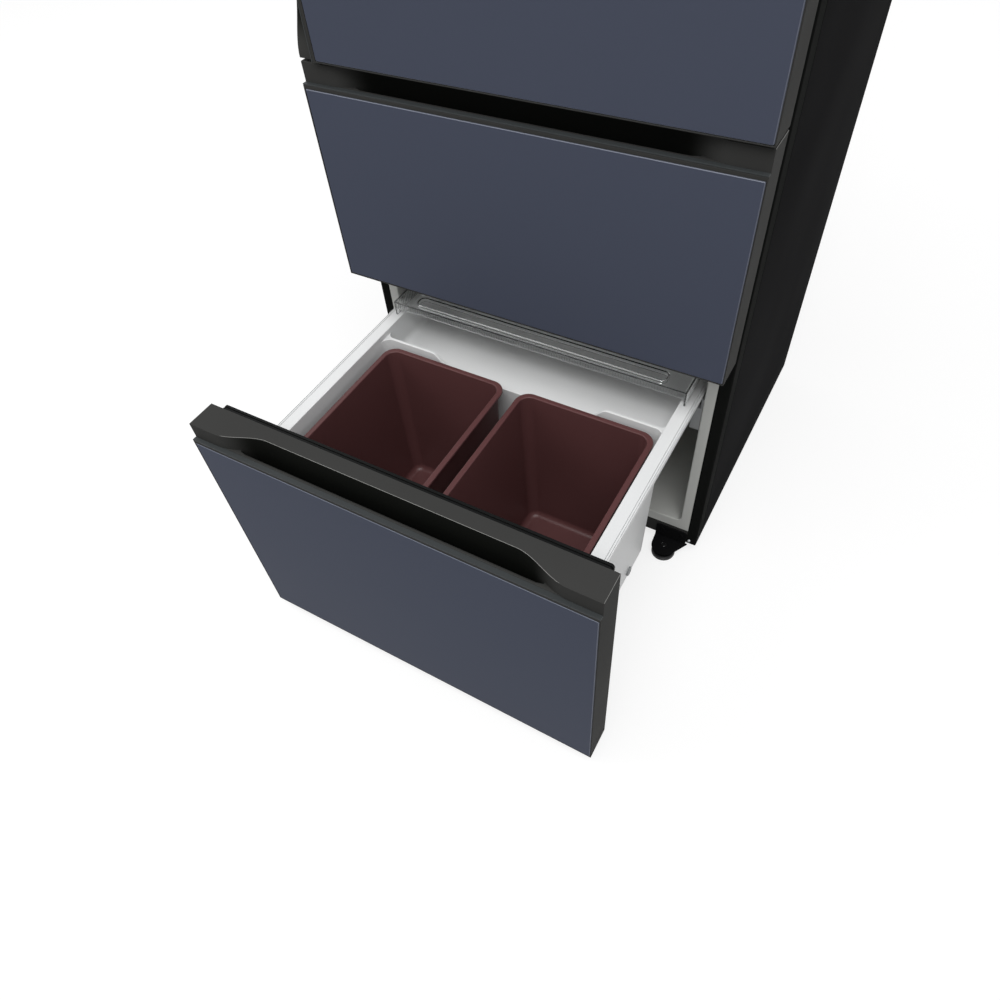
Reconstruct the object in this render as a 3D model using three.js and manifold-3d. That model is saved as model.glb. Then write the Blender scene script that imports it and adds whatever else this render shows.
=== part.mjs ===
// Kimchi refrigerator: one hinged upper door over two full-width drawers, with the lower drawer pulled open.
// Millimetres. +X is to the right of someone facing it, +Y runs to its back, +Z is up, and z = 0 is the floor.
// Until the last line, y = 0 is the front plane of the cabinet.

import * as THREE from 'three';
import { mergeVertices } from 'three/addons/utils/BufferGeometryUtils.js';
import Module from 'manifold-3d';

const wasm = await Module();
wasm.setup();

// ---- Driving dimensions ---------------------------------------------------------------------------------

const FIT = 0.3; // clearance between pieces that seat on each other
const CORNER_STEPS = 3; // segments in a rounded corner
const ROUND_STEPS = 24; // segments round a shaft, roller or foot

// cabinet
const CASE_WIDTH = 695;
const CASE_DEPTH = 612;
const CASE_BOTTOM = 30; // underside of the cabinet over the floor
const CASE_TOP = 1836;
const SHEET = 1; // steel sheet of the case
const FACE_WIDTH = 20.2; // folded front edge of the case, seen from the front
const BASE_BAR_HEIGHT = 37; // steel bar across the foot of the cabinet
const BASE_BAR_DEPTH = 2;
const HINGE_COVER_HEIGHT = 17; // stands over the case top

// fronts of the drawers and the door
const FRONT_THICKNESS = 57;
const FRONT_GAP = 14; // between the cabinet and the back of a closed front
const LOWER_FRONT_BOTTOM = 28.5;
const LOWER_FRONT_HEIGHT = 497;
const MIDDLE_FRONT_HEIGHT = 355;
const REVEAL = 4.5; // gap between one front and the next
const DOOR_TOP_GAP = 2; // top of the door under the top of the case
const GLASS_THICKNESS = 3.7;
const GLASS_BORDER = 2; // frame seen beside and under the glass
const GLASS_DROP = 35.5; // top of the front down to the top of the glass
const LIP_DROP = 28; // top of the front down to the top of the grip's lip
const CAP_SETBACK = 7.5; // cap's front face behind the glass
const GRIP_SETBACK = 32; // grip's face behind the glass
const GRIP_LIP = 15; // thickness of the lip that the fingers hook over
const GRIP_DEPTH = 66; // grip's pocket below the top of the front
const GRIP_INSET = 49.5; // side of a drawer's front to the end of its grip
const GRIP_CURVE = 86; // length of the grip's curve at each end
const DOOR_GRIP_SHIFT = 180; // the door's grip is this far below its middle

// linings
const LINER_WALL = 2;
const OPENING_INSET = 39.5; // side of the cabinet to the inside of a compartment
const OPENING_RADIUS = 12;
const FLOOR_RISE = 61.5; // bottom of the lower front to the floor of the lower compartment
const CEILING_DROP = 27.5; // top of a drawer's front down to the ceiling behind it
const MIDDLE_FLOOR_RISE = 27; // bottom of the middle front to the floor behind it
const UPPER_FLOOR_RISE = 25.5; // bottom of the door to the floor behind it
const UPPER_CEILING_DROP = 38; // top of the door down to the ceiling behind it
const REAR_FOAM = 62; // back of the cabinet to the back of the compartments
const STEP_INSET = 172; // back of the compartments to the front of the lower one's step
const STEP_HEIGHT = 272; // height of the step over the lower floor
const MACHINE_ROOM_HEIGHT = 300;
const MACHINE_ROOM_INSET = 20; // front of the step to the front of the machine room

// seals and inner panels
const GASKET_INSET = 13.5; // outside of the seal from the side of the front
const GASKET_MARGIN = 7.5; // outside of the seal from the top of the front
const GASKET_WIDTH = 18;
const LOWER_GASKET_RISE = 40; // bottom of the lower seal over the bottom of its front
const PLUG_CLEARANCE = 22; // inner panel to the lining at the sides, which leaves room for the rails
const PLUG_GAP = 9; // inner panel to the lining above and below
const PLUG_DEPTH = 35; // back of a front to the back of its inner panel

// drawers
const BASKET_STAY = 100; // length of a basket that stays in the cabinet when its drawer is fully open
const BASKET_WALL = 3;
const BASKET_TAPER = 10; // how far each side of a basket leans in, top to bottom
const BASKET_GAP = 10; // basket over the floor of its compartment
const BASKET_RADIUS = 18;
const RIM_DROP = 90.5; // top of the front down to the top of the basket's rim
const RIM_HEIGHT = 12;
const RIM_CLEARANCE = 4; // rim of a basket to the wall of its compartment
const RIM_WIDTH = 24;
const BASKET_REAR_GAP = 24; // back of a shut basket to the back of its compartment
const DEEP_INSET = 43; // front of the step to the back of the shut lower basket's deep part
const DEEP_LEAN = 7; // lean of that wall towards the front, over its height
const SHELF_RISE = 10; // lower basket's rear shelf over the step of the lining
const RIB_THICKNESS = 5; // rib between the deep part and the shelf
const RIB_SIDE_DROP = 11.5; // rim's top down to the rib at the sides
const RIB_MIDDLE_DROP = 40; // rim's top down to the rib in the middle
const RIB_SIDE_LENGTH = 105; // high part of the rib at each side
const RIB_SLOPE = 37; // run of the slope between its high and low parts
const SHOE_LENGTH = 30;
const SHOE_HEIGHT = 22.4;

// rails and their rollers
const ROLLER_RADIUS = 11;
const ROLLER_WIDTH = 10;
const PIN_RADIUS = 3;
const ROLLER_INSET = 13; // middle of the roller to its place 3 mm behind the cabinet's front
const RAIL_START = 3;
const BRACKET_LENGTH = 43;
const BRACKET_WIDTH = 17.7;
const BRACKET_HEIGHT = 58;
const CHEEK_WIDTH = 4.7;
const CHANNEL_WIDTH = 12;
const CHANNEL_WEB = 3.7;
const CHANNEL_LEDGE = 3;
const CHANNEL_GAP = 5; // end of a channel to the back of its compartment

// the clear sliding cover over the back of the lower drawer
const COVER_LENGTH = 138;
const COVER_BACK_GAP = 2; // its back edge to the back of the basket
const COVER_OVERLAP = 8; // how far it reaches over each rim
const COVER_HEIGHT = 29;
const COVER_THICKNESS = 3;
const SLOT_SIDE_INSET = 43; // side of the cover to the end of the slot
const SLOT_WIDTH = 21;
const SLOT_INSET = 14; // front edge of the cover to the slot
const SLOT_RADIUS = 8;

// containers
const TUB_SIDE_GAP = 4; // lower tubs to the foot of the basket's wall
const TUB_FRONT_GAP = 6; // lower tubs to the inner panel of the drawer's front
const TUB_BACK_GAP = 12; // lower tubs to the top of the basket's rear wall
const TUB_SHIFT = 4; // the lower tubs stand this far right of the middle, as the photo shows them
const TUB_SPACING = 28; // between the two lower tubs
const TUB_DROP = 18; // rim of the basket down to the rim of the lower tubs
const TUB_RIM = 7; // width of a tub's rim
const TUB_RIM_HEIGHT = 6;
const TUB_WALL = 2.5;
const TUB_TAPER = 9; // how far each wall leans in, top to bottom
const TUB_RADIUS = 26;
const BOX_HEIGHT = 190; // the wide container of the middle drawer
const BOX_SIDE_GAP = 20; // it to the foot of the basket's wall
const BOX_LENGTH = 300;
const BOX_FRONT = 110;
const LID_THICKNESS = 9;

// hinges
const HINGE_INSET = 13.5; // hinge line from the side of the cabinet
const HINGE_FORWARD = 40; // hinge line in front of the cabinet
const HINGE_PIN_RADIUS = 5;
const HINGE_PIN_LENGTH = 12;
const HINGE_PLATE = 2.8;

// feet
const FOOT_INSET = 58; // side of the cabinet to the middle of the foot
const FOOT_Y = -22.6;
const BRACKET_PLATE = 3;
const BRACKET_TOP = 26;
const BRACKET_RADIUS = 25.5;
const BRACKET_INNER_INSET = 85.5; // side of the cabinet to the inner side of the bracket
const BRACKET_OUTER_INSET = 16.5;
const TAB_HEIGHT = 34;
const FOOT_RADIUS = 24;
const FOOT_HEIGHT = 13;
const FOOT_NECK_RADIUS = 13;
const FOOT_STEM_RADIUS = 5;
const WHEEL_RADIUS = 14;
const WHEEL_WIDTH = 22;
const WHEEL_INSET = 47.5; // side of the cabinet to the middle of the rear roller
const WHEEL_REAR_INSET = 52; // back of the cabinet to its axle
const FORK_PLATE = 2;
const FORK_DROP = 23;

// machine room
const COMPRESSOR_INSET = 147.5; // side of the cabinet to the middle of the compressor
const COMPRESSOR_RADIUS = 72;
const COMPRESSOR_HEIGHT = 165;
const COMPRESSOR_DOME = 30; // height of its rounded top
const COMPRESSOR_BASE = 25; // height of its rounded bottom, over its base plate
const COMPRESSOR_PLATE = 180; // width of its base plate
const COMPRESSOR_LIFT = 14;
const FAN_RADIUS = 70;
const FAN_WIDTH = 26;
const FAN_PAN_GAP = 14; // fan to the drain pan
const PAN_INSET = 97.5; // side of the cabinet to the side of the pan
const PAN_FRONT_GAP = 27; // front of the machine room to the pan
const PAN_REAR_GAP = 36;
const PAN_HEIGHT = 16;
const CONDENSER_HEIGHT = 190;

// upper compartment
const SHELF_THICKNESS = 6;
const SHELF_FRONT = 150;
const SHELF_LOWER_RISE = 295; // floor of the upper compartment to its lower shelf
const SHELF_UPPER_RISE = 595;
const LEDGE = 9; // width of the ledges that carry a shelf
const LEDGE_HEIGHT = 14;
const DUCT_INSET = 54; // back of the compartment to the front of the duct cover
const DUCT_THICKNESS = 4;
const DUCT_SLOTS = 6;
const DUCT_SLOT_INSET = 218; // side of the compartment to the end of a slot
const DUCT_SLOT_HEIGHT = 12;
const BIN_LOWER_RISE = 125; // floor of the upper compartment to the lower bin
const BIN_UPPER_RISE = 415;
const BIN_HEIGHT = 110;
const BIN_DEPTH = 85;
const BIN_WALL = 2.5;
const BIN_SIDE_GAP = 11; // bin to the side of the door's inner panel
const BIN_HOOK_INSET = 40; // side of the bin to the end of the rib that it hangs on
const PANEL_INSET = 178; // side of the compartment to the side of the control panel
const PANEL_FRONT = 34;
const PANEL_DEPTH = 62;
const PANEL_THICKNESS = 5;
const FIN_INSET = 108; // side of the compartment to the first fin of the upper evaporator
const HINGE_ARM_WIDTH = 32; // hinge line to the inner side of its arm
const LOUVRE_INSET = 67.5; // side of the cabinet to the first louvre
const LOUVRE_GAP = 30;

// ---- Places worked out from them ------------------------------------------------------------------------

const HALF = CASE_WIDTH / 2;
const DOOR_TOP = CASE_TOP - DOOR_TOP_GAP;
const LOWER_FRONT_TOP = LOWER_FRONT_BOTTOM + LOWER_FRONT_HEIGHT;
const MIDDLE_FRONT_BOTTOM = LOWER_FRONT_TOP + REVEAL;
const MIDDLE_FRONT_TOP = MIDDLE_FRONT_BOTTOM + MIDDLE_FRONT_HEIGHT;
const DOOR_BOTTOM = MIDDLE_FRONT_TOP + REVEAL;
const GRIP_HALF_LENGTH = HALF - GRIP_INSET;
const GRIP_HALF_FLAT = GRIP_HALF_LENGTH - GRIP_CURVE;

const OPENING_HALF_WIDTH = HALF - OPENING_INSET;
const LOWER_FLOOR = LOWER_FRONT_BOTTOM + FLOOR_RISE;
const LOWER_CEILING = LOWER_FRONT_TOP - CEILING_DROP;
const MIDDLE_FLOOR = MIDDLE_FRONT_BOTTOM + MIDDLE_FLOOR_RISE;
const MIDDLE_CEILING = MIDDLE_FRONT_TOP - CEILING_DROP;
const UPPER_FLOOR = DOOR_BOTTOM + UPPER_FLOOR_RISE;
const UPPER_CEILING = DOOR_TOP - UPPER_CEILING_DROP;
const LINER_DEPTH = CASE_DEPTH - REAR_FOAM;
const STEP_DEPTH = LINER_DEPTH - STEP_INSET; // the lower lining is only this deep beside the machine room
const MACHINE_ROOM_FRONT = STEP_DEPTH + MACHINE_ROOM_INSET;
const BASE_BAR_TOP = CASE_BOTTOM + BASE_BAR_HEIGHT;
const FLANGE_HALF_WIDTH = HALF - FACE_WIDTH - FIT;
const LOWER_SPLIT = LOWER_FRONT_TOP + REVEAL / 2;
const UPPER_SPLIT = MIDDLE_FRONT_TOP + REVEAL / 2;
const STEP_FLOOR = LOWER_FLOOR + STEP_HEIGHT;
const MACHINE_ROOM_TOP = CASE_BOTTOM + MACHINE_ROOM_HEIGHT;
const REAR_INNER = CASE_DEPTH - SHEET; // inside of the rear sheet

const RIM_HALF_WIDTH = OPENING_HALF_WIDTH - RIM_CLEARANCE;
const BASKET_HALF_TOP = RIM_HALF_WIDTH - RIM_WIDTH; // half the outer width of a basket under its rim
const BASKET_HALF_BOTTOM = BASKET_HALF_TOP - BASKET_TAPER;
const BASKET_BACK = LINER_DEPTH - BASKET_REAR_GAP; // back of a basket when its drawer is shut
const DRAWER_TRAVEL = BASKET_BACK - BASKET_STAY; // from shut to fully open
const DEEP_BACK = STEP_DEPTH - DEEP_INSET; // back of the lower basket's deep part when shut
const RIB_SIDE_START = BASKET_HALF_TOP - RIB_SIDE_LENGTH;
const RIB_MIDDLE_END = RIB_SIDE_START - RIB_SLOPE;
const CHANNEL_END = LINER_DEPTH - CHANNEL_GAP;
const COVER_FRONT = BASKET_BACK - COVER_BACK_GAP - COVER_LENGTH; // its front edge when the drawer is shut
const COVER_HALF_WIDTH = BASKET_HALF_TOP + COVER_OVERLAP;
const SLOT_HALF_LENGTH = COVER_HALF_WIDTH - SLOT_SIDE_INSET;
const TUB_WIDTH = BASKET_HALF_BOTTOM - TUB_SIDE_GAP - TUB_SPACING / 2;
const TUB_BACK = DEEP_BACK - TUB_BACK_GAP; // back of the lower tubs when their drawer is shut
const TUB_LENGTH = TUB_BACK - (PLUG_DEPTH - FRONT_GAP + TUB_FRONT_GAP);
const BOX_WIDTH = 2 * (BASKET_HALF_BOTTOM - BOX_SIDE_GAP);
const HINGE_X = HALF - HINGE_INSET;
const FOOT_X = HALF - FOOT_INSET;
const BRACKET_INNER_X = HALF - BRACKET_INNER_INSET;
const BRACKET_OUTER_X = HALF - BRACKET_OUTER_INSET;
const WHEEL_X = HALF - WHEEL_INSET;
const WHEEL_Y = CASE_DEPTH - WHEEL_REAR_INSET;
const SHELF_HEIGHTS = { lower: UPPER_FLOOR + SHELF_LOWER_RISE, upper: UPPER_FLOOR + SHELF_UPPER_RISE };
const BIN_HEIGHTS = { lower: UPPER_FLOOR + BIN_LOWER_RISE, upper: UPPER_FLOOR + BIN_UPPER_RISE };
const BIN_HALF = OPENING_HALF_WIDTH - PLUG_CLEARANCE - BIN_SIDE_GAP;
const DUCT_FRONT = LINER_DEPTH - DUCT_INSET;
const REST_FRONT = -(DRAWER_TRAVEL + FRONT_GAP + FRONT_THICKNESS); // face of the open lower drawer

const LOWER = {
	name: 'lower', bottom: LOWER_FRONT_BOTTOM, top: LOWER_FRONT_TOP, floor: LOWER_FLOOR,
	ceiling: LOWER_CEILING, open: DRAWER_TRAVEL, gasketBottom: LOWER_FRONT_BOTTOM + LOWER_GASKET_RISE,
};
const MIDDLE = {
	name: 'middle', bottom: MIDDLE_FRONT_BOTTOM, top: MIDDLE_FRONT_TOP, floor: MIDDLE_FLOOR,
	ceiling: MIDDLE_CEILING, open: 0, gasketBottom: MIDDLE_FRONT_BOTTOM + GASKET_MARGIN,
};

// ---- Shapes ---------------------------------------------------------------------------------------------

// A closed BufferGeometry as a solid that can be joined and cut.
function solid(geometry) {
	const bare = geometry.index ? geometry.toNonIndexed() : geometry.clone();
	bare.deleteAttribute('normal');
	bare.deleteAttribute('uv');
	const merged = mergeVertices(bare, 1e-4);
	return new wasm.Manifold(new wasm.Mesh({
		numProp: 3,
		vertProperties: new Float32Array(merged.attributes.position.array),
		triVerts: new Uint32Array(merged.index.array),
	}));
}

// The solid turned back into a BufferGeometry.
function surface(manifold) {
	const { vertProperties, triVerts } = manifold.getMesh();
	const geometry = new THREE.BufferGeometry();
	geometry.setAttribute('position', new THREE.BufferAttribute(vertProperties, 3));
	geometry.setIndex(new THREE.BufferAttribute(triVerts, 1));
	return geometry;
}

function cut(base, ...tools) {
	return tools.reduce((rest, tool) => rest.subtract(tool), base);
}

function join(base, ...others) {
	return others.reduce((whole, other) => whole.add(other), base);
}

function block(x0, x1, y0, y1, z0, z1) {
	const geometry = new THREE.BoxGeometry(x1 - x0, y1 - y0, z1 - z0);
	return solid(geometry.translate((x0 + x1) / 2, (y0 + y1) / 2, (z0 + z1) / 2));
}

// Outline points in a plane, extruded along the third axis from low to high.
function prism(points, axis, low, high) {
	const shape = new THREE.Shape(points.map(([a, b]) => new THREE.Vector2(a, b)));
	const geometry = new THREE.ExtrudeGeometry(shape, { depth: high - low, bevelEnabled: false });
	if (axis === 'x') { // the outline is in (y, z)
		geometry.applyMatrix4(new THREE.Matrix4().set(0, 0, 1, 0, 1, 0, 0, 0, 0, 1, 0, 0, 0, 0, 0, 1));
		geometry.translate(low, 0, 0);
	} else if (axis === 'y') { // the outline is in (x, z)
		geometry.rotateX(Math.PI / 2);
		geometry.translate(0, high, 0);
	} else { // the outline is in (x, y)
		geometry.translate(0, 0, low);
	}
	return solid(geometry);
}

// The four rounded corners of a rectangle, anticlockwise from its lower left one.
function roundedOutline(a0, a1, b0, b1, radius, steps = CORNER_STEPS) {
	const centres = [
		[a0 + radius, b0 + radius, Math.PI], [a1 - radius, b0 + radius, 1.5 * Math.PI],
		[a1 - radius, b1 - radius, 0], [a0 + radius, b1 - radius, 0.5 * Math.PI],
	];
	return centres.flatMap(([a, b, start]) => Array.from({ length: steps + 1 }, (_, i) => {
		const angle = start + (i / steps) * (Math.PI / 2);
		return [a + radius * Math.cos(angle), b + radius * Math.sin(angle)];
	}));
}

// A solid between level outlines, each { z, x0, x1, y0, y1, radius }, from the bottom up.
function loft(levels) {
	const rings = levels.map((l) => roundedOutline(l.x0, l.x1, l.y0, l.y1, l.radius)
		.map(([x, y]) => [x, y, l.z]));
	const count = rings[0].length;
	const corners = rings.flat(2);
	const faces = [];
	for (let level = 0; level + 1 < rings.length; level++) {
		for (let i = 0; i < count; i++) {
			const a = level * count + i;
			const b = level * count + (i + 1) % count;
			faces.push(a, b, b + count, a, b + count, a + count);
		}
	}
	const top = (rings.length - 1) * count;
	for (let i = 1; i + 1 < count; i++) {
		faces.push(0, i + 1, i);
		faces.push(top, top + i, top + i + 1);
	}
	const geometry = new THREE.BufferGeometry();
	geometry.setAttribute('position', new THREE.Float32BufferAttribute(corners, 3));
	geometry.setIndex(faces);
	return solid(geometry);
}

// A round bar along an axis, centred at (a, b) in the other two.
function bar(axis, a, b, radius, low, high, steps = ROUND_STEPS) {
	const ring = Array.from({ length: steps }, (_, i) => {
		const angle = (2 * Math.PI * i) / steps;
		return [a + radius * Math.cos(angle), b + radius * Math.sin(angle)];
	});
	return prism(ring, axis, low, high);
}

// An eased step from 0 to 1.
function ease(t) {
	return t * t * (3 - 2 * t);
}

const group = new THREE.Group();

function add(name, manifold, finish) {
	const mesh = new THREE.Mesh(surface(manifold), new THREE.MeshStandardMaterial(finish));
	mesh.name = name;
	group.add(mesh);
}

// ---- Finishes -------------------------------------------------------------------------------------------

const BLACK_STEEL = { color: 0x232325, roughness: 0.45, metalness: 0.3 };
const CHARCOAL = { color: 0x3b3b3b, roughness: 0.4, metalness: 0.3 };
const SLATE_GLASS = { color: 0x474b57, roughness: 0.35, metalness: 0 };
const WHITE_PLASTIC = { color: 0xd9dadb, roughness: 0.45, metalness: 0 };
const GREY_PLASTIC = { color: 0x9a9c9e, roughness: 0.5, metalness: 0 };
const SHELF_GLASS = { color: 0xbfcfca, roughness: 0.05, metalness: 0 };
const CLEAR_PLASTIC = { color: 0xc9cccc, roughness: 0.1, metalness: 0 };
const MAROON_PLASTIC = { color: 0x4b282d, roughness: 0.3, metalness: 0 };
const BLACK_PLASTIC = { color: 0x131315, roughness: 0.5, metalness: 0 };
const RUBBER = { color: 0x17181a, roughness: 0.8, metalness: 0 };
const ZINC = { color: 0xb4b6b8, roughness: 0.35, metalness: 0.9 };
const ALUMINIUM = { color: 0xc2c5c8, roughness: 0.4, metalness: 0.9 };
const FOAM = { color: 0xe3d9ae, roughness: 0.9, metalness: 0 };

// ---- Cabinet --------------------------------------------------------------------------------------------

// Sides and top folded from one sheet, with a folded face round the front.
function outerCase() {
	const inner = HALF - SHEET;
	const face = HALF - FACE_WIDTH;
	const arch = (half, top) => [
		[-HALF, CASE_BOTTOM], [-half, CASE_BOTTOM], [-half, top], [half, top], [half, CASE_BOTTOM],
		[HALF, CASE_BOTTOM], [HALF, CASE_TOP], [-HALF, CASE_TOP],
	];
	const skin = prism(arch(inner, CASE_TOP - SHEET), 'y', 0, CASE_DEPTH);
	return join(skin, prism(arch(face, CASE_TOP - FACE_WIDTH), 'y', 0, SHEET));
}

// Floor sheet with the front bar and the forks of the two rear rollers.
function basePan() {
	const half = HALF - SHEET - FIT;
	const floor = block(-half, half, SHEET + FIT, REAR_INNER - FIT, CASE_BOTTOM, CASE_BOTTOM + SHEET);
	const frontBar = block(-FLANGE_HALF_WIDTH, FLANGE_HALF_WIDTH, 0, BASE_BAR_DEPTH, CASE_BOTTOM, BASE_BAR_TOP);
	const forks = [-WHEEL_X, WHEEL_X].map((x) => {
		const gap = WHEEL_WIDTH / 2 + 1;
		const plates = [x - gap - FORK_PLATE, x + gap].map((x0) => block(
			x0, x0 + FORK_PLATE, WHEEL_Y - WHEEL_RADIUS, WHEEL_Y + WHEEL_RADIUS,
			CASE_BOTTOM - FORK_DROP, CASE_BOTTOM + SHEET / 2));
		const reach = gap + FORK_PLATE / 2;
		const axle = bar('x', WHEEL_Y, WHEEL_RADIUS, PIN_RADIUS, x - reach, x + reach);
		return join(plates[0], plates[1], axle);
	});
	return join(floor, frontBar, ...forks);
}

// A lining: a box open to the front, with rounded corners and a flange round its mouth.
function linerBox(floor, ceiling, depth, flangeBottom, flangeTop) {
	const w = LINER_WALL;
	const outline = (grow) => roundedOutline(
		-OPENING_HALF_WIDTH - grow, OPENING_HALF_WIDTH + grow, floor - grow, ceiling + grow, OPENING_RADIUS + grow);
	const flange = block(-FLANGE_HALF_WIDTH, FLANGE_HALF_WIDTH, 0, w, flangeBottom, flangeTop);
	return {
		shell: join(prism(outline(w), 'y', 0, depth + w), flange),
		hollow: prism(outline(0), 'y', -1, depth),
		room: prism(outline(w + FIT), 'y', -1, depth + w + FIT),
	};
}

const lowerLining = linerBox(LOWER_FLOOR, LOWER_CEILING, LINER_DEPTH, BASE_BAR_TOP + FIT, LOWER_SPLIT - FIT);
const middleLining = linerBox(MIDDLE_FLOOR, MIDDLE_CEILING, LINER_DEPTH, LOWER_SPLIT, UPPER_SPLIT - FIT);
const upperLining = linerBox(
	UPPER_FLOOR, UPPER_CEILING, LINER_DEPTH, UPPER_SPLIT, CASE_TOP - FACE_WIDTH - FIT);

// The lower lining is stepped at its back, over the machine room. grow is the wall outside the hollow.
function stepBlock(grow) {
	const side = HALF;
	return block(-side, side, STEP_DEPTH + grow, CASE_DEPTH, 0, STEP_FLOOR - grow);
}

function lowerLiner() {
	const w = LINER_WALL;
	const shell = lowerLining.shell.subtract(stepBlock(w));
	return shell.subtract(lowerLining.hollow.subtract(stepBlock(0)));
}

// Ledges pressed into the walls of the upper lining carry its shelves. skin is the wall left round a ledge's core,
// and root is how far the ledge runs out past the inside of the lining's wall.
function shelfLedges(skin, root) {
	return Object.values(SHELF_HEIGHTS).flatMap((z) => [-1, 1].map((side) => {
		const inner = side * (OPENING_HALF_WIDTH - LEDGE + skin);
		const outer = side * (OPENING_HALF_WIDTH + root);
		return block(Math.min(inner, outer), Math.max(inner, outer), SHELF_FRONT + skin, DUCT_FRONT - FIT - skin,
			z - FIT - LEDGE_HEIGHT + skin, z - FIT - skin);
	}));
}

function upperLiner() {
	const pressed = join(upperLining.shell.subtract(upperLining.hollow), ...shelfLedges(0, LINER_WALL / 2));
	return cut(pressed, ...shelfLedges(LINER_WALL, LINER_WALL + 1));
}

// Cooling plates lie behind the linings of the two drawers.
const COOLER = {
	front: LINER_DEPTH + LINER_WALL + FIT, thickness: 2, half: OPENING_HALF_WIDTH - 58, margin: 40,
};

function coolingPlate(bottom, top, grow = 0) {
	return block(-COOLER.half - grow, COOLER.half + grow, COOLER.front - 2 * grow,
		COOLER.front + COOLER.thickness + grow, bottom - grow, top + grow);
}

const MIDDLE_COOLER = [MIDDLE_FLOOR + COOLER.margin, MIDDLE_CEILING - COOLER.margin];
const LOWER_COOLER = [STEP_FLOOR + COOLER.margin / 2, LOWER_CEILING - COOLER.margin / 2];

// Foam fills the space between the case and the linings.
function foamBody() {
	const half = HALF - SHEET - FIT;
	const filled = block(-half, half, LINER_WALL + FIT, REAR_INNER - FIT,
		CASE_BOTTOM + SHEET + FIT, CASE_TOP - SHEET - FIT);
	const machineRoom = block(-HALF, HALF, MACHINE_ROOM_FRONT, CASE_DEPTH, 0, MACHINE_ROOM_TOP);
	const body = cut(filled, lowerLining.room.subtract(stepBlock(LINER_WALL + FIT)), middleLining.room,
		upperLining.room, machineRoom, coolingPlate(...MIDDLE_COOLER, FIT), coolingPlate(...LOWER_COOLER, FIT));
	return join(body, ...shelfLedges(LINER_WALL + FIT, LINER_WALL + 1));
}

function rearPanel() {
	const half = HALF - SHEET - FIT;
	return block(-half, half, REAR_INNER, CASE_DEPTH, MACHINE_ROOM_TOP, CASE_TOP - SHEET - FIT);
}

// Louvred cover over the machine room, with the hole for the power inlet.
const INLET = {
	x: HALF - 62.5, z: MACHINE_ROOM_TOP - 60, width: 30, height: 24, collar: 4, depth: 26, room: 50,
};

function machineCover() {
	const half = HALF - SHEET - FIT;
	const sheet = block(-half, half, REAR_INNER, CASE_DEPTH, CASE_BOTTOM + SHEET + FIT, MACHINE_ROOM_TOP - FIT);
	const louvres = [];
	for (let column = 0; column < 3; column++) {
		for (let row = 0; row < 5; row++) {
			const length = (2 * (HALF - LOUVRE_INSET) - 3 * LOUVRE_GAP - INLET.room) / 3;
			const x = LOUVRE_INSET - HALF + column * (length + LOUVRE_GAP);
			const z = CASE_BOTTOM + 60 + row * 30;
			louvres.push(block(x, x + length, REAR_INNER - 1, CASE_DEPTH + 1, z, z + 8));
		}
	}
	const inlet = block(INLET.x - INLET.width / 2 - FIT, INLET.x + INLET.width / 2 + FIT, REAR_INNER - 1,
		CASE_DEPTH + 1, INLET.z - INLET.height / 2 - FIT, INLET.z + INLET.height / 2 + FIT);
	return cut(sheet, ...louvres, inlet);
}

function powerInlet() {
	const { x, z, width, height, collar, depth } = INLET;
	const nose = block(x - width / 2, x + width / 2, REAR_INNER - depth, CASE_DEPTH, z - height / 2, z + height / 2);
	const body = block(x - width / 2 - collar, x + width / 2 + collar, REAR_INNER - depth, REAR_INNER - FIT,
		z - height / 2 - collar, z + height / 2 + collar);
	const socket = block(x - width / 2 + collar, x + width / 2 - collar, REAR_INNER - depth / 2, CASE_DEPTH + 1,
		z - height / 2 + collar, z + height / 2 - collar);
	return cut(join(nose, body), socket);
}

add('outer_case', outerCase(), BLACK_STEEL);
add('rear_panel', rearPanel(), BLACK_STEEL);
add('base_pan', basePan(), BLACK_STEEL);
add('machine_cover', machineCover(), BLACK_STEEL);
add('power_inlet', powerInlet(), BLACK_PLASTIC);
add('foam_body', foamBody(), FOAM);
add('upper_liner', upperLiner(), WHITE_PLASTIC);
add('middle_liner', middleLining.shell.subtract(middleLining.hollow), WHITE_PLASTIC);
add('lower_liner', lowerLiner(), WHITE_PLASTIC);
add('middle_evaporator', coolingPlate(...MIDDLE_COOLER), ALUMINIUM);
add('lower_evaporator', coolingPlate(...LOWER_COOLER), ALUMINIUM);

// ---- Feet and rollers -----------------------------------------------------------------------------------

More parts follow.
